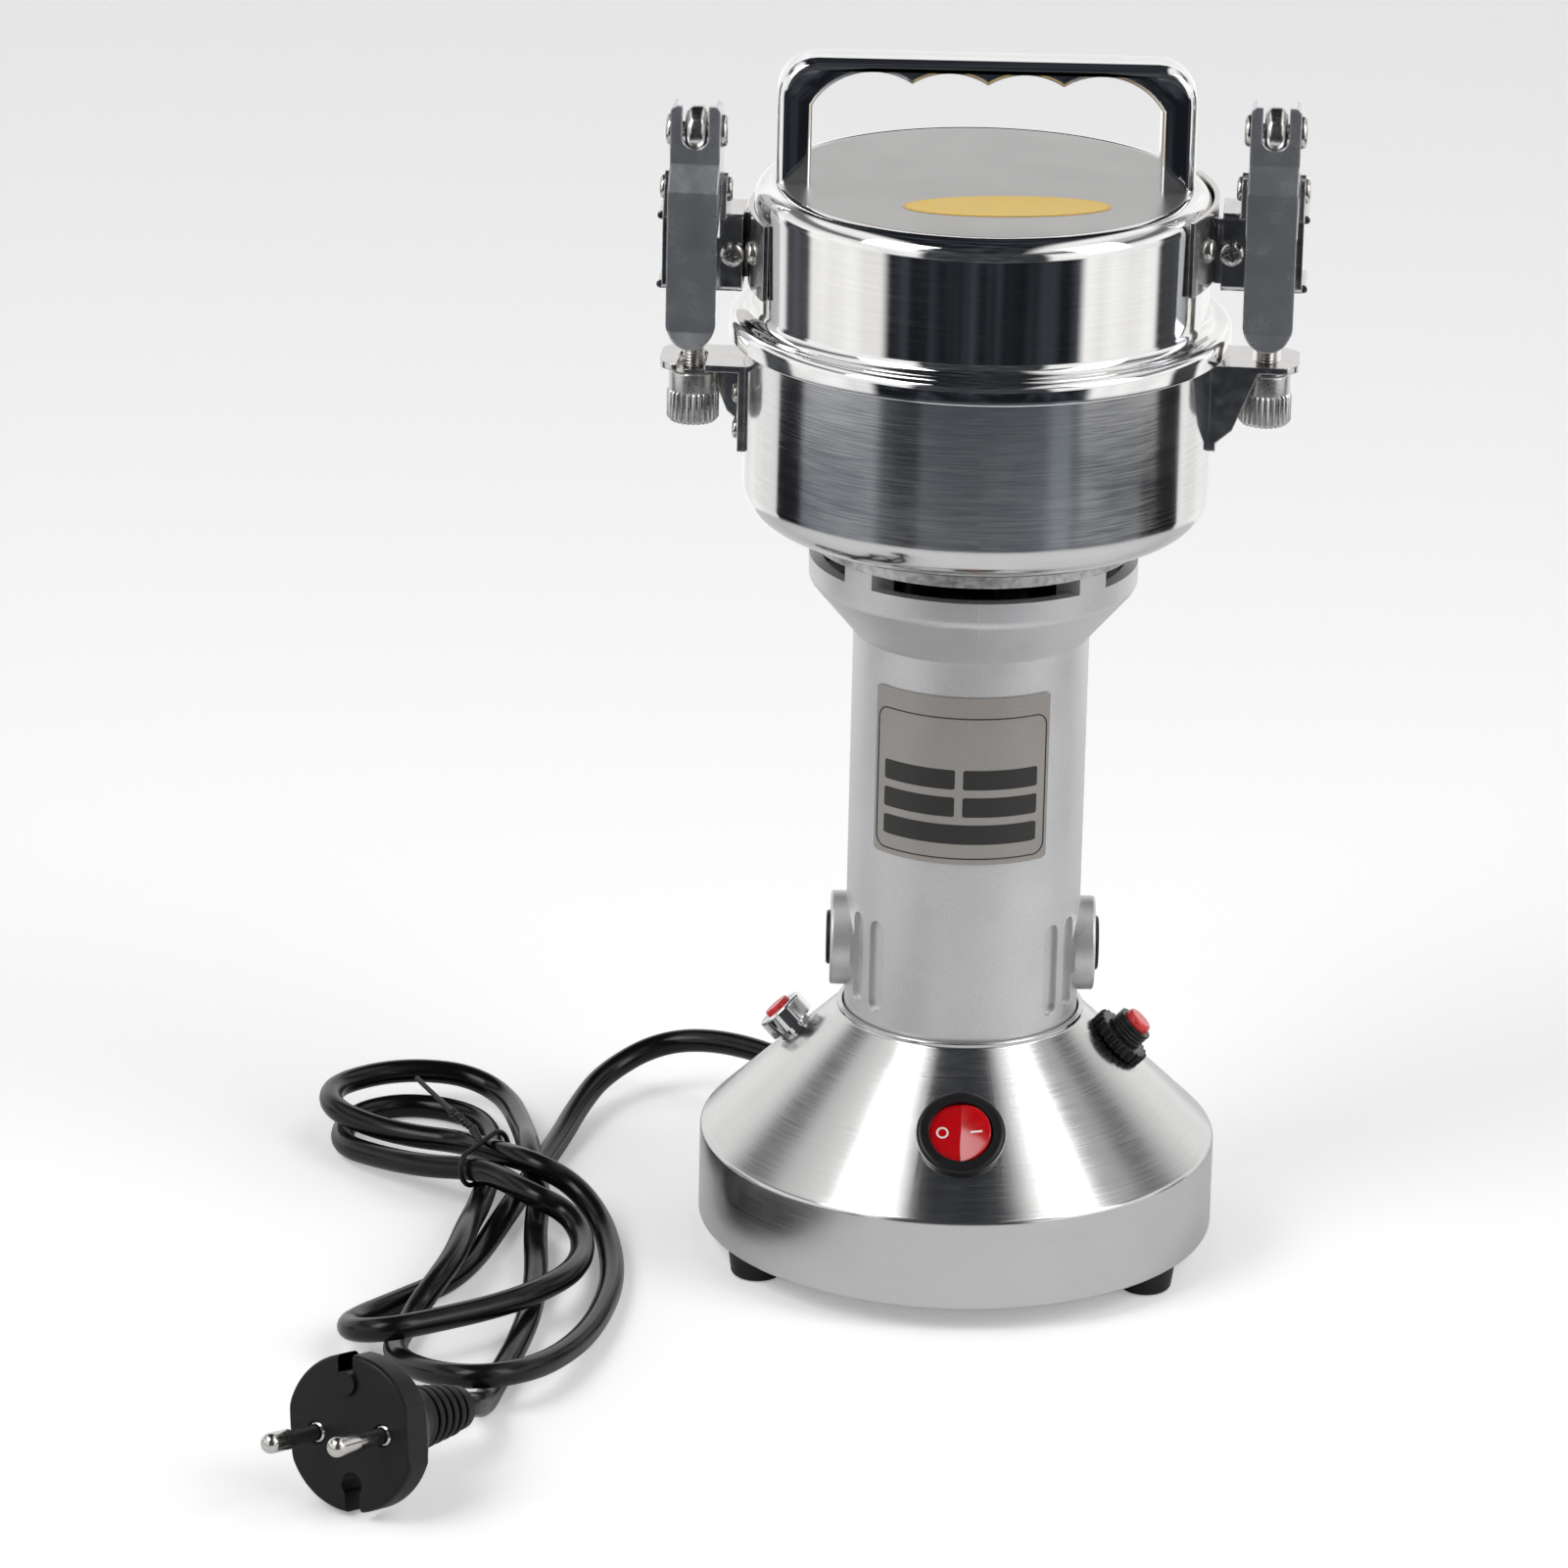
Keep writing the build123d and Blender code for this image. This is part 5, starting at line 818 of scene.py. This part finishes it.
class Column:
    """Printed plate, seam and cap slots on the motor column."""

    PLATE_MID, PLATE_HALF = -95.1, 46.1
    PLATE_LOW, PLATE_HIGH, PLATE_R = 108.7, 151.3, 29.1
    BORDER, BORDER_LINE, BORDER_STEP = (-22.4, 110.2, 22.4, 146.0), 0.17, 2.0
    # start, end and height of each blank field
    BARS = ((-20.0, -1.0, 130.4), (1.0, 20.0, 130.4), (-20.0, -1.0, 123.4), (1.0, 20.0, 123.4),
            (-20.0, 20.0, 116.4))
    BAR_H = 5.0
    FACE_LIFT, BORDER_LIFT, BAR_LIFT = 0.01, 0.02, 0.05
    CAP_FACE, CAP_Z, CAP_R, CAP_T, CAP_RIM_R, CAP_SINK = 33.6, 78.5, 6.7, 3.0, 5.4, 0.6
    SEAM = ((COLUMN_R, 159.9), (38.6, 171.3), (40.0, 174.2), (40.0, 178.8))
    SEAM_AT, SEAM_LINE = -89.0, 0.16

    def build(self) -> None:
        """Make the plate, the parting line and the brush caps."""
        self._plate()
        self._caps()
        turn = math.radians(self.SEAM_AT)
        line = [(r * math.cos(turn), r * math.sin(turn), z) for r, z in self.SEAM]
        tube("collar_seam", line, self.SEAM_LINE, "cast", order=2)

    def _plate(self) -> None:
        """Foil plate with a border and blank printed fields."""
        width = 2 * math.radians(self.PLATE_HALF) * self.PLATE_R
        sheet = rectangle(width, self.PLATE_HIGH - self.PLATE_LOW, 0.6)
        mid = (self.PLATE_LOW + self.PLATE_HIGH) / 2
        face = on_column(sheet, self.PLATE_R + self.FACE_LIFT, self.PLATE_MID, mid)
        build("plate_face", face, "foil", node="rating_plate")
        left, low, right, high = self.BORDER
        frame = rectangle(right - left, high - low, 3.0) + np.array([0, (low + high) / 2])
        radius = self.PLATE_R + self.BORDER_LIFT
        x, y = np.vstack([frame, frame[:1]]).T
        loop = polar(radius, math.radians(self.PLATE_MID) + x / radius, y)
        tube("plate_border", self._densify(loop, radius), self.BORDER_LINE, "print_black", order=2)
        for k, (start, end, height) in enumerate(self.BARS):
            patch = rectangle(end - start, self.BAR_H, 0.3) + np.array([(start + end) / 2, 0])
            form = on_column(patch, self.PLATE_R + self.BAR_LIFT, self.PLATE_MID, height)
            build(f"plate_field{k}", form, "print_black")

    def _densify(self, points: np.ndarray, radius: float) -> list:
        """Add points between others so that a line stays on the column."""
        out = []
        for a, b in zip(points, points[1:]):
            count = max(1, int(math.dist(a, b) / self.BORDER_STEP))
            for k in range(count):
                x, y, z = a + (b - a) * k / count
                scale = radius / math.hypot(x, y)
                out.append((x * scale, y * scale, z))
        return out + [tuple(points[-1])]

    def _caps(self) -> None:
        """Slotted brush caps on both sides."""
        thick, sunk = self.CAP_T, self.CAP_T - self.CAP_SINK
        cap = lathe(rounded([(AXIS, 0), (self.CAP_R, 0), (self.CAP_R, thick), (self.CAP_RIM_R, thick),
                             (self.CAP_RIM_R, sunk), (AXIS, sunk)], [0, 0, 0.7, 0.3, 0.2, 0]), 64)
        slot = prism(rectangle(1.4, 9.0, 0.2), 1.3, 3.5)
        for k, azimuth in enumerate((0, 180)):
            frame = spin("Z", azimuth) @ shift(self.CAP_FACE - thick, 0, self.CAP_Z) @ spin("Y", 90)
            build(f"brush_cap{k}", cap.moved(frame), "black_plastic",
                  node="" if k else "brush_caps", cutters=[slot.moved(frame)])


class Controls:
    """Dished rocker with its marks, and the serrated nut of the overload reset."""

    ROCKER_R, ROCKER_LOW, ROCKER_SINK, VALLEY, REST_TILT, SLOPE = 7.7, -1.5, -1.0, 2.1, 8.0, 8.0
    MARK_OUT, MARK_T, ZERO_IN, ZERO_OUT, ONE = 4.2, 0.06, 1.05, 1.5, (0.5, 3.0, 0.1)
    TEETH, TOOTH_R, TOOTH_H, TOOTH_EDGE, NUT_BORE, NUT_T = 24, 7.6, 0.4, 2.2, 4.8, 3.0

    def build(self) -> None:
        """Make the rocker, its marks and the nut."""
        frame = cone_frame(*ROCKER_AT) @ shift(0, 0, self.ROCKER_SINK) @ spin("X", self.REST_TILT)
        build("rocker_dished", self._dished().moved(frame), "red_lens", "rocker_switch", "rocker",
              bevel_mm=0.3)
        ring = [(self.ZERO_IN, 0.0), (self.ZERO_OUT, 0.0), (self.ZERO_OUT, self.MARK_T), (self.ZERO_IN, self.MARK_T)]
        marks = (("zero", -1, lathe(ring, 40, closed=True)), ("one", 1, prism(rectangle(*self.ONE), 0.0, self.MARK_T)))
        for name, side, form in marks:
            face = (frame @ shift(0, 0, self.VALLEY) @ spin("X", side * self.SLOPE)
                    @ shift(0, side * self.MARK_OUT, 0.02))
            build(f"rocker_{name}", form.moved(face), "mark_white", "rocker_switch")
        frame = cone_frame(*RESET_AT)
        turns = around(self.TEETH * 8)
        teeth = self.TOOTH_H * np.clip(np.cos(turns * self.TEETH) * self.TOOTH_EDGE, -1, 1)
        nut = prism(polar(self.TOOTH_R + teeth, turns), 0, self.NUT_T)
        build("overload_nut_serrated", nut.moved(frame), "black_plastic", node="overload_nut",
              bevel_mm=0.25, smooth_deg=30, cutters=[prism(circle(self.NUT_BORE, 64), -1, 4).moved(frame)])

    def _dished(self) -> Form:
        """Round button whose two flat halves fall towards the middle."""
        rim = circle(self.ROCKER_R, 96)
        count, half = len(rim), len(rim) // 2
        roof = self.VALLEY + np.abs(rim[:, 1]) * math.tan(math.radians(self.SLOPE))
        verts = np.vstack([np.column_stack([rim, np.full(count, self.ROCKER_LOW)]), np.column_stack([rim, roof])])
        faces = [tuple(reversed(range(count))), tuple(range(count, count + half + 1)),
                 (*range(count + half, 2 * count), count)]
        return Form(verts, grid(2, count) + faces)


class MainsCord:
    """Mains cord with its moulded plug and the wire tie round its bundle."""

    LEAD = 11.2
    ROUTE = (
        (-60.4, 86.4, 17.0), (-76.1, 91.0, 14.0), (-89.8, 80.7, 9.0), (-95.8, 67.2, 5.5),
        (-100.9, 45.9, 3.1), (-109.6, 9.4, 3.1), (-120.3, -40.4, 3.1), (-135.1, -57.7, 3.1),
        (-147.2, -74.8, 4.5), (-145.6, -88.5, 8.2), (-136.0, -94.6, 11.4), (-125.6, -86.6, 10.6),
        (-113.3, -77.1, 9.9), (-102.6, -67.5, 9.9), (-93.0, -48.5, 8.0), (-91.3, -23.9, 5.5),
        (-95.8, -12.6, 8.6), (-105.9, -11.6, 13.2), (-118.0, 6.8, 11.9), (-132.0, 14.4, 9.0),
        (-144.5, 26.9, 6.0), (-156.4, 41.4, 3.6), (-154.6, 61.5, 3.1), (-144.2, 70.3, 3.1),
        (-131.5, 69.7, 3.1), (-120.3, 61.5, 3.1), (-116.2, 42.0, 3.1), (-118.0, 4.7, 4.4),
        (-120.6, -28.5, 10.4), (-122.8, -45.5, 9.9), (-127.6, -60.7, 8.2), (-132.6, -69.0, 3.1),
        (-136.3, -88.7, 3.1), (-129.1, -106.7, 6.5), (-118.0, -119.1, 10.2), (-107.7, -117.8, 10.4),
        (-97.7, -103.7, 7.5), (-89.1, -79.3, 4.5), (-84.3, -49.9, 3.1), (-84.4, -28.4, 3.1),
        (-87.8, -7.5, 4.6), (-95.0, 2.6, 10.0), (-105.2, 4.0, 15.0), (-114.6, 14.8, 13.2),
        (-124.9, 29.2, 9.9), (-136.9, 32.3, 9.9), (-147.5, 37.6, 10.2), (-158.6, 47.8, 10.8),
        (-159.6, 64.6, 9.9), (-149.1, 74.8, 9.9), (-137.1, 78.3, 9.9), (-124.4, 78.5, 8.5),
        (-114.4, 71.5, 5.5), (-109.3, 45.0, 7.4), (-107.0, 22.0, 11.4), (-103.6, 3.4, 7.0),
        (-104.3, -12.0, 3.1), (-102.8, -38.7, 3.1), (-103.5, -64.3, 3.1), (-106.7, -87.7, 3.1),
        (-110.2, -104.8, 3.1), (-112.6, -120.0, 3.3),
    )
    LENGTH_M = 1.195
    PLUG_FACE = Vector((-141.2, -174.0, 19.45))
    PLUG_WAY = Vector((0.560, 0.808, -0.185)).normalized()
    PLUG_ROLL = -12.1
    FACE_R, FLAT, RIM_T, DISC_T, SHOULDER_R = 18.4, 16.8, 7.0, 13.0, 13.5
    NOTCH_W, POCKET_R, NOTCH_H, NOTCH_PAST = 4.2, 2.9, 9.5, 25
    BOOT = ((9.4, -1.0), (9.2, 3.5), (8.0, 8.5))
    BOOT_END, BOOT_TIP_R, RIB_ROUND = 42.0, 5.2, 0.35
    RIBS, RIB_LOW, RIB_R, RIB_PITCH, RIB_LONG, RIB_DEPTH, RIB_TAPER = 5, 22.2, 7.9, 3.3, 1.7, 1.4, 0.42
    PIN_SPACING, PIN_LONG, PIN_R, PIN_ROOM = 19.0, 19.0, 2.4, 0.35
    SLEEVE_LONG, SLEEVE_R = 10.5, 1.95
    TIE_CENTRE = Vector((-117.95, 12.8, 12.2))
    TIE_ACROSS = Vector((0.532, 0.838, 0.122))
    TIE_ALONG = Vector((-0.813, 0.545, -0.203))
    TIE_HALF, TIE_ROUND = (10.2, 4.2), 4.1
    TAILS = (((-121.2, 22.0, 16.4), (-127.5, 37.5, 15.0), (-137.3, 60.5, 14.5)),
             ((-121.2, 22.0, 16.4), (-127.7, 39.5, 14.0), (-133.4, 55.5, 12.9)))
    TIE_R, TWIST_R, TWISTS, TWIST_STEPS = 0.65, 0.62, 7, 12

    def build(self) -> None:
        """Make the cord, plug, pins and tie."""
        turn = math.radians(GLAND_AZIMUTH)
        out = Vector((math.cos(turn), math.sin(turn), 0))
        start = out * (RIM_R + GLAND_REACH) + Vector((0, 0, GLAND_Z))
        end = self.PLUG_FACE + self.PLUG_WAY * self.BOOT_END
        points = [start, start + out * self.LEAD, *self.ROUTE, end + self.PLUG_WAY * 2 * CORD_R, end]
        flex = tube("mains_flex", points, CORD_R, "cord", "power_cord")
        side = Vector((0, 0, 1)).cross(self.PLUG_WAY).normalized()
        frame = Matrix((side, self.PLUG_WAY.cross(side), self.PLUG_WAY)).transposed().to_4x4()
        frame = Matrix.Translation(self.PLUG_FACE) @ frame @ spin("Z", self.PLUG_ROLL)
        pieces = [self._plug(frame), *self._pins(frame), *self._tie()]

    def _plug(self, frame: Matrix) -> bpy.types.Object:
        """Round two-pin plug with side flats, two notches and a ribbed boot."""
        thick = self.DISC_T
        disc = lathe(rounded([(AXIS, 0), (self.FACE_R, 0), (self.FACE_R, self.RIM_T), (self.SHOULDER_R, thick),
                              (AXIS, thick)], [0, 1.2, 1.2, 0.4, 0]), 160)
        disc.verts[:, 0] = np.clip(disc.verts[:, 0], -self.FLAT, self.FLAT)
        cutters = []
        half, deep = self.NOTCH_W / 2, self.FACE_R - self.NOTCH_H + self.POCKET_R
        notch = np.array([(-half, deep), (half, deep), (half, self.NOTCH_PAST), (-half, self.NOTCH_PAST)])
        for way in (1, -1):
            slot = notch * np.array([1, way])
            pocket = circle(self.POCKET_R, 40, (0, way * deep))
            pin_hole = circle(self.PIN_R + self.PIN_ROOM, 40, (way * self.PIN_SPACING / 2, 0))
            cutters += [prism(slot[::way], -2, thick + 2), prism(pocket, -1, thick + 1), prism(pin_hole, -1, 0.5)]
        head = build("plug_head", disc.moved(frame), "plug", node="plug_body",
                     cutters=[cutter.moved(frame) for cutter in cutters])
        boot = [(AXIS, thick - 1), *((radius, thick + rise) for radius, rise in self.BOOT)]
        z = self.RIB_LOW
        for k in range(self.RIBS):
            outer = self.RIB_R - k * self.RIB_TAPER
            root = outer - self.RIB_DEPTH
            boot += [(outer, z), (outer, z + self.RIB_LONG), (root, z + 2.0), (root, z + self.RIB_PITCH)]
            z += self.RIB_PITCH
        end = self.BOOT_END
        boot += [(5.6, z + 0.2), (self.BOOT_TIP_R, end), (CORD_R + 0.1, end), (CORD_R + 0.1, end - 2)]
        radii = [0] + [self.RIB_ROUND] * (len(boot) - 2) + [0]
        build("plug_boot", lathe(rounded(boot, radii), 72).moved(frame), "plug", smooth_deg=40)
        return head

    def _pins(self, frame: Matrix) -> list:
        """Two round pins with rounded tips and thinner sleeves."""
        radius, low, sleeve = self.PIN_R, -self.PIN_LONG, -self.SLEEVE_LONG
        shape = lathe(rounded([(AXIS, low), (radius, low), (radius, sleeve), (self.SLEEVE_R, sleeve),
                               (self.SLEEVE_R, -0.2), (radius, 0.2), (radius, 5), (AXIS, 5)],
                              [0, 2.1, 0.2, 0.2, 0, 0, 0, 0]), 40)
        return [build(f"plug_pin{k}", shape.moved(frame @ shift(side * self.PIN_SPACING / 2, 0, 0)), "nickel",
                      node="" if k else "plug_pins", smooth_deg=40) for k, side in enumerate((1, -1))]

    def _tie(self) -> list:
        """Covered wire round two strands, twisted and splayed at its ends."""
        up = self.TIE_ALONG.cross(self.TIE_ACROSS).normalized()
        if up.z < 0:
            up = -up
        outline = rectangle(2 * self.TIE_HALF[0], 2 * self.TIE_HALF[1], self.TIE_ROUND)
        loop = [self.TIE_CENTRE + self.TIE_ACROSS * x + up * y for x, y in outline]
        pieces = [tube("tie_loop", loop + loop[:1], self.TIE_R, "rubber", "cord_tie")]
        top = self.TIE_CENTRE + up * self.TIE_HALF[1]
        for k, tail in enumerate(self.TAILS):
            run = [top, *(Vector(p) for p in tail)]
            spots = []
            for a, b in zip(run[:-1], run[1:-1]):
                way = (b - a).normalized()
                across = way.cross(Vector((0, 0, 1))).normalized()
                over = across.cross(way)
                for share in np.arange(self.TWIST_STEPS) / self.TWIST_STEPS:
                    turn = math.pi * self.TWISTS * share + k * math.pi
                    twist = across * math.cos(turn) + over * math.sin(turn)
                    spots.append(a.lerp(b, share) + twist * self.TWIST_R)
            pieces.append(tube(f"tie_tail{k}", spots + run[-2:], self.TIE_R, "rubber"))
        return pieces


class Studio:
    """Floor, surroundings, lamps and camera."""

    TARGET = Vector((-44.8, 0, 118.2)) * MM
    DISTANCE = 1994.0 * MM
    PITCH, ROLL = math.radians(19.5), 1.27
    FOCAL_PX, FRAME_PX, SENSOR_MM = 8300.0, 1601.0, 36.0
    WHITE = (1.0, 1.0, 1.0, 1.0)
    DARK = (0.010, 0.0115, 0.015, 1.0)
    DIM = (0.060, 0.067, 0.080, 1.0)
    PAPER, PAPER_LIFT = (0.9, 0.9, 0.9, 1), 0.28
    TENT_LOW, TENT_HIGH = (0.95, 0.945, 0.94, 1), (1.18, 1.18, 1.18, 1)
    NEAR_PAPER, CARD, CARD_HALF, FLOOR_HALF = 420.0, 690.0, 113.0, 6000.0
    RING_POINTS = 145
    # azimuth from the front, elevation, softness (degrees), darkness
    PATCHES = ((-60, 50, -27, -5, 3.0, 1.0), (97, 117, -45, 8, 2.5, 0.96), (-60, 32, -8, 34, 3.0, 0.97),
               (-60, 150, 27, 40, 3.0, 0.85), (-60, 30, -50, -25, 3.0, 0.9))
    # overhead shapes: range of height, of the distance from the middle line, darkness at that range's ends
    OVERHEAD = (((0.42, 0.58), (0.31, 0.45), (1.0, 0.0)), ((0.30, 0.5), (0.60, 0.76), (0.0, 0.45)))
    MIDDLE_LINE = -0.05
    # azimuth from the front in degrees, brightness of the card's streaks
    STREAKS = ((-113, 0.01), (-96, 0.012), (-92, 0.176), (-52, 0.203), (-46, 0.101), (-38, 0.041), (-30, 0.041),
               (-27, 0.115), (0, 0.101), (30, 0.135), (36, 0.27), (42, 0.27), (47, 0.121), (83, 0.115),
               (87, 0.012), (101, 0.012))
    CARD_TINT = (0.88, 0.98, 1.12)
    # name, place and size in millimetres, power in watts
    LAMPS = (("key", (-900, -700, 1200), (700, 900), 9.0), ("fill", (1000, -500, 900), (600, 900), 6.0))

    def build(self) -> None:
        """Make everything that isn't the object."""
        self._floor()
        self._world()
        self._lamps()
        self._camera()
        bpy.context.scene.view_settings.view_transform = "Standard"

    def _floor(self) -> None:
        """White paper that keeps the shadow; metal sees only the part of it near the object, and a dark card."""
        near, card, far = self.NEAR_PAPER, self.CARD, self.FLOOR_HALF
        material = self._paper()
        self._ring("paper_near", 0.0, near, 180.0, material)
        self._ring("paper_far", near, far, 180.0, material).visible_glossy = False
        dark = self._ring("dark_card", near + 1, card, self.CARD_HALF, self._card())
        dark.location.z = 0.5 * MM
        dark.visible_camera = dark.visible_diffuse = dark.visible_shadow = dark.visible_transmission = False

    def _ring(self, name: str, inner: float, outer: float, half_deg: float,
              material: bpy.types.Material) -> bpy.types.Object:
        """Add a flat ring, or the part of one either side of the front, that isn't part of the object."""
        turns = np.radians(np.linspace(-90 - half_deg, -90 + half_deg, self.RING_POINTS))
        rows = [polar(radius, turns, 0) for radius in (inner, outer)]
        ring = linked(name, mesh_of(name, Form(np.vstack(rows), grid(2, len(turns), closed=False))))
        ring.data.materials.append(material)
        return ring

    def _paper(self) -> bpy.types.Material:
        """White paper, lifted to pure white for the camera."""
        material, graph = new_material("paper")
        sheet = graph.add("ShaderNodeBsdfDiffuse")
        sheet.inputs["Color"].default_value = self.PAPER
        glow = graph.add("ShaderNodeEmission")
        glow.inputs["Color"].default_value = self.WHITE
        path = graph.add("ShaderNodeLightPath")
        graph.feed(glow.inputs["Strength"], graph.math("MULTIPLY", path.outputs["Is Camera Ray"], self.PAPER_LIFT))
        total = graph.add("ShaderNodeAddShader")
        graph.feed(total.inputs[0], sheet.outputs[0])
        graph.feed(total.inputs[1], glow.outputs[0])
        graph.close(total)
        return material

    def _card(self) -> bpy.types.Material:
        """Dark bluish card whose tone changes round the object, mirrored by the bowl."""
        material, graph = new_material("card")
        x, y, _ = graph.split(graph.add("ShaderNodeTexCoord").outputs["Object"])
        ramp = graph.add("ShaderNodeValToRGB")
        graph.feed(ramp.inputs[0], graph.ramp(graph.azimuth(x, y), -math.pi, math.pi, smooth=False))
        stops = ramp.color_ramp.elements
        while len(stops) < len(self.STREAKS):
            stops.new(1.0)
        for stop, (azimuth, tone) in zip(stops, self.STREAKS):
            stop.position = (azimuth + 180) / 360
            stop.color = (*(tone * share for share in self.CARD_TINT), 1)
        glow = graph.add("ShaderNodeEmission")
        graph.feed(glow.inputs["Color"], ramp.outputs[0])
        graph.close(glow)
        return material

    def _world(self) -> None:
        """A white tent with an open dark front, as metal shows it; white to the camera."""
        world = bpy.data.worlds.new("studio")
        bpy.context.scene.world = world
        world.use_nodes = True
        graph = Graph(world.node_tree)
        coords = graph.add("ShaderNodeTexCoord").outputs["Generated"]
        x, y, z = graph.split(coords)
        degrees = 180 / math.pi
        away = graph.math("ABSOLUTE", graph.math("MULTIPLY", graph.azimuth(x, y), degrees))
        rise = graph.math("MULTIPLY", graph.math("ARCSINE", z), degrees)
        side = graph.math("ABSOLUTE", graph.math("SUBTRACT", x, self.MIDDLE_LINE))
        shades = []
        for low_az, high_az, low_el, high_el, soft, weight in self.PATCHES:
            patch = graph.math("MULTIPLY", graph.band(away, low_az, high_az, soft),
                               graph.band(rise, low_el, high_el, soft))
            shades.append(graph.math("MULTIPLY", patch, weight))
        for heights, widths, ends in self.OVERHEAD:
            shades.append(graph.math("MULTIPLY", graph.ramp(z, *heights), graph.ramp(side, *widths, *ends)))
        darkness = 0.0
        for shade in shades:
            darkness = graph.math("MAXIMUM", darkness, shade)
        bright = graph.mix(graph.ramp(graph.noise(coords, 2.2, 2.0), 0.3, 0.7), self.TENT_LOW, self.TENT_HIGH)
        dark = graph.mix(graph.ramp(graph.noise(coords, 5.0, 3.0), 0.4, 0.72), self.DARK, self.DIM)
        tone = graph.mix(darkness, bright, dark)
        path = graph.add("ShaderNodeLightPath")
        back = graph.add("ShaderNodeBackground")
        graph.feed(back.inputs["Color"], graph.mix(path.outputs["Is Camera Ray"], tone, self.WHITE))
        back.inputs["Strength"].default_value = 1.0
        graph.close(back, "ShaderNodeOutputWorld")

    def _lamps(self) -> None:
        """Two soft boxes that shape the metal."""
        for name, place_mm, size_mm, power in self.LAMPS:
            lamp = bpy.data.lights.new(name, "AREA")
            lamp.shape, lamp.size, lamp.size_y = "RECTANGLE", size_mm[0] * MM, size_mm[1] * MM
            lamp.energy = power
            obj = linked(name, lamp)
            obj.location = Vector(place_mm) * MM
            obj.rotation_euler = (self.TARGET - obj.location).to_track_quat("-Z", "Y").to_euler()

    def _camera(self) -> None:
        """Camera at the photograph's angle."""
        data = bpy.data.cameras.new("camera")
        data.sensor_width = self.SENSOR_MM
        data.lens = self.FOCAL_PX / self.FRAME_PX * self.SENSOR_MM
        data.clip_start, data.clip_end = 0.05, 50.0
        camera = linked("camera", data)
        look = Vector((0, math.cos(self.PITCH), -math.sin(self.PITCH)))
        camera.location = self.TARGET - look * self.DISTANCE
        camera.rotation_euler = (look.to_track_quat("-Z", "Y").to_matrix().to_4x4() @ spin("Z", self.ROLL)).to_euler()
        bpy.context.scene.camera = camera


def dress_nodes(frame: dict) -> None:
    """Give every CAD node that stays its finish."""
    for finish, nodes in CAD_FINISHES.items():
        for node in nodes.split():
            materials = frame["nodes"][node].data.materials
            materials.clear()
            materials.append(MAKER.get(finish))


def main() -> None:
    """Load the model, dress it and set the studio up."""
    logging.basicConfig(level=logging.INFO)
    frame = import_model()
    dress_nodes(frame)
    for part in (BaseCone(), Bowl(), Lid(), Handle(), Clamp("right"), Clamp("left"), Column(), Controls(),
                 MainsCord(), Studio()):
        part.build()
        LOG.info("%s done", type(part).__name__)


if __name__ == "__main__":
    main()
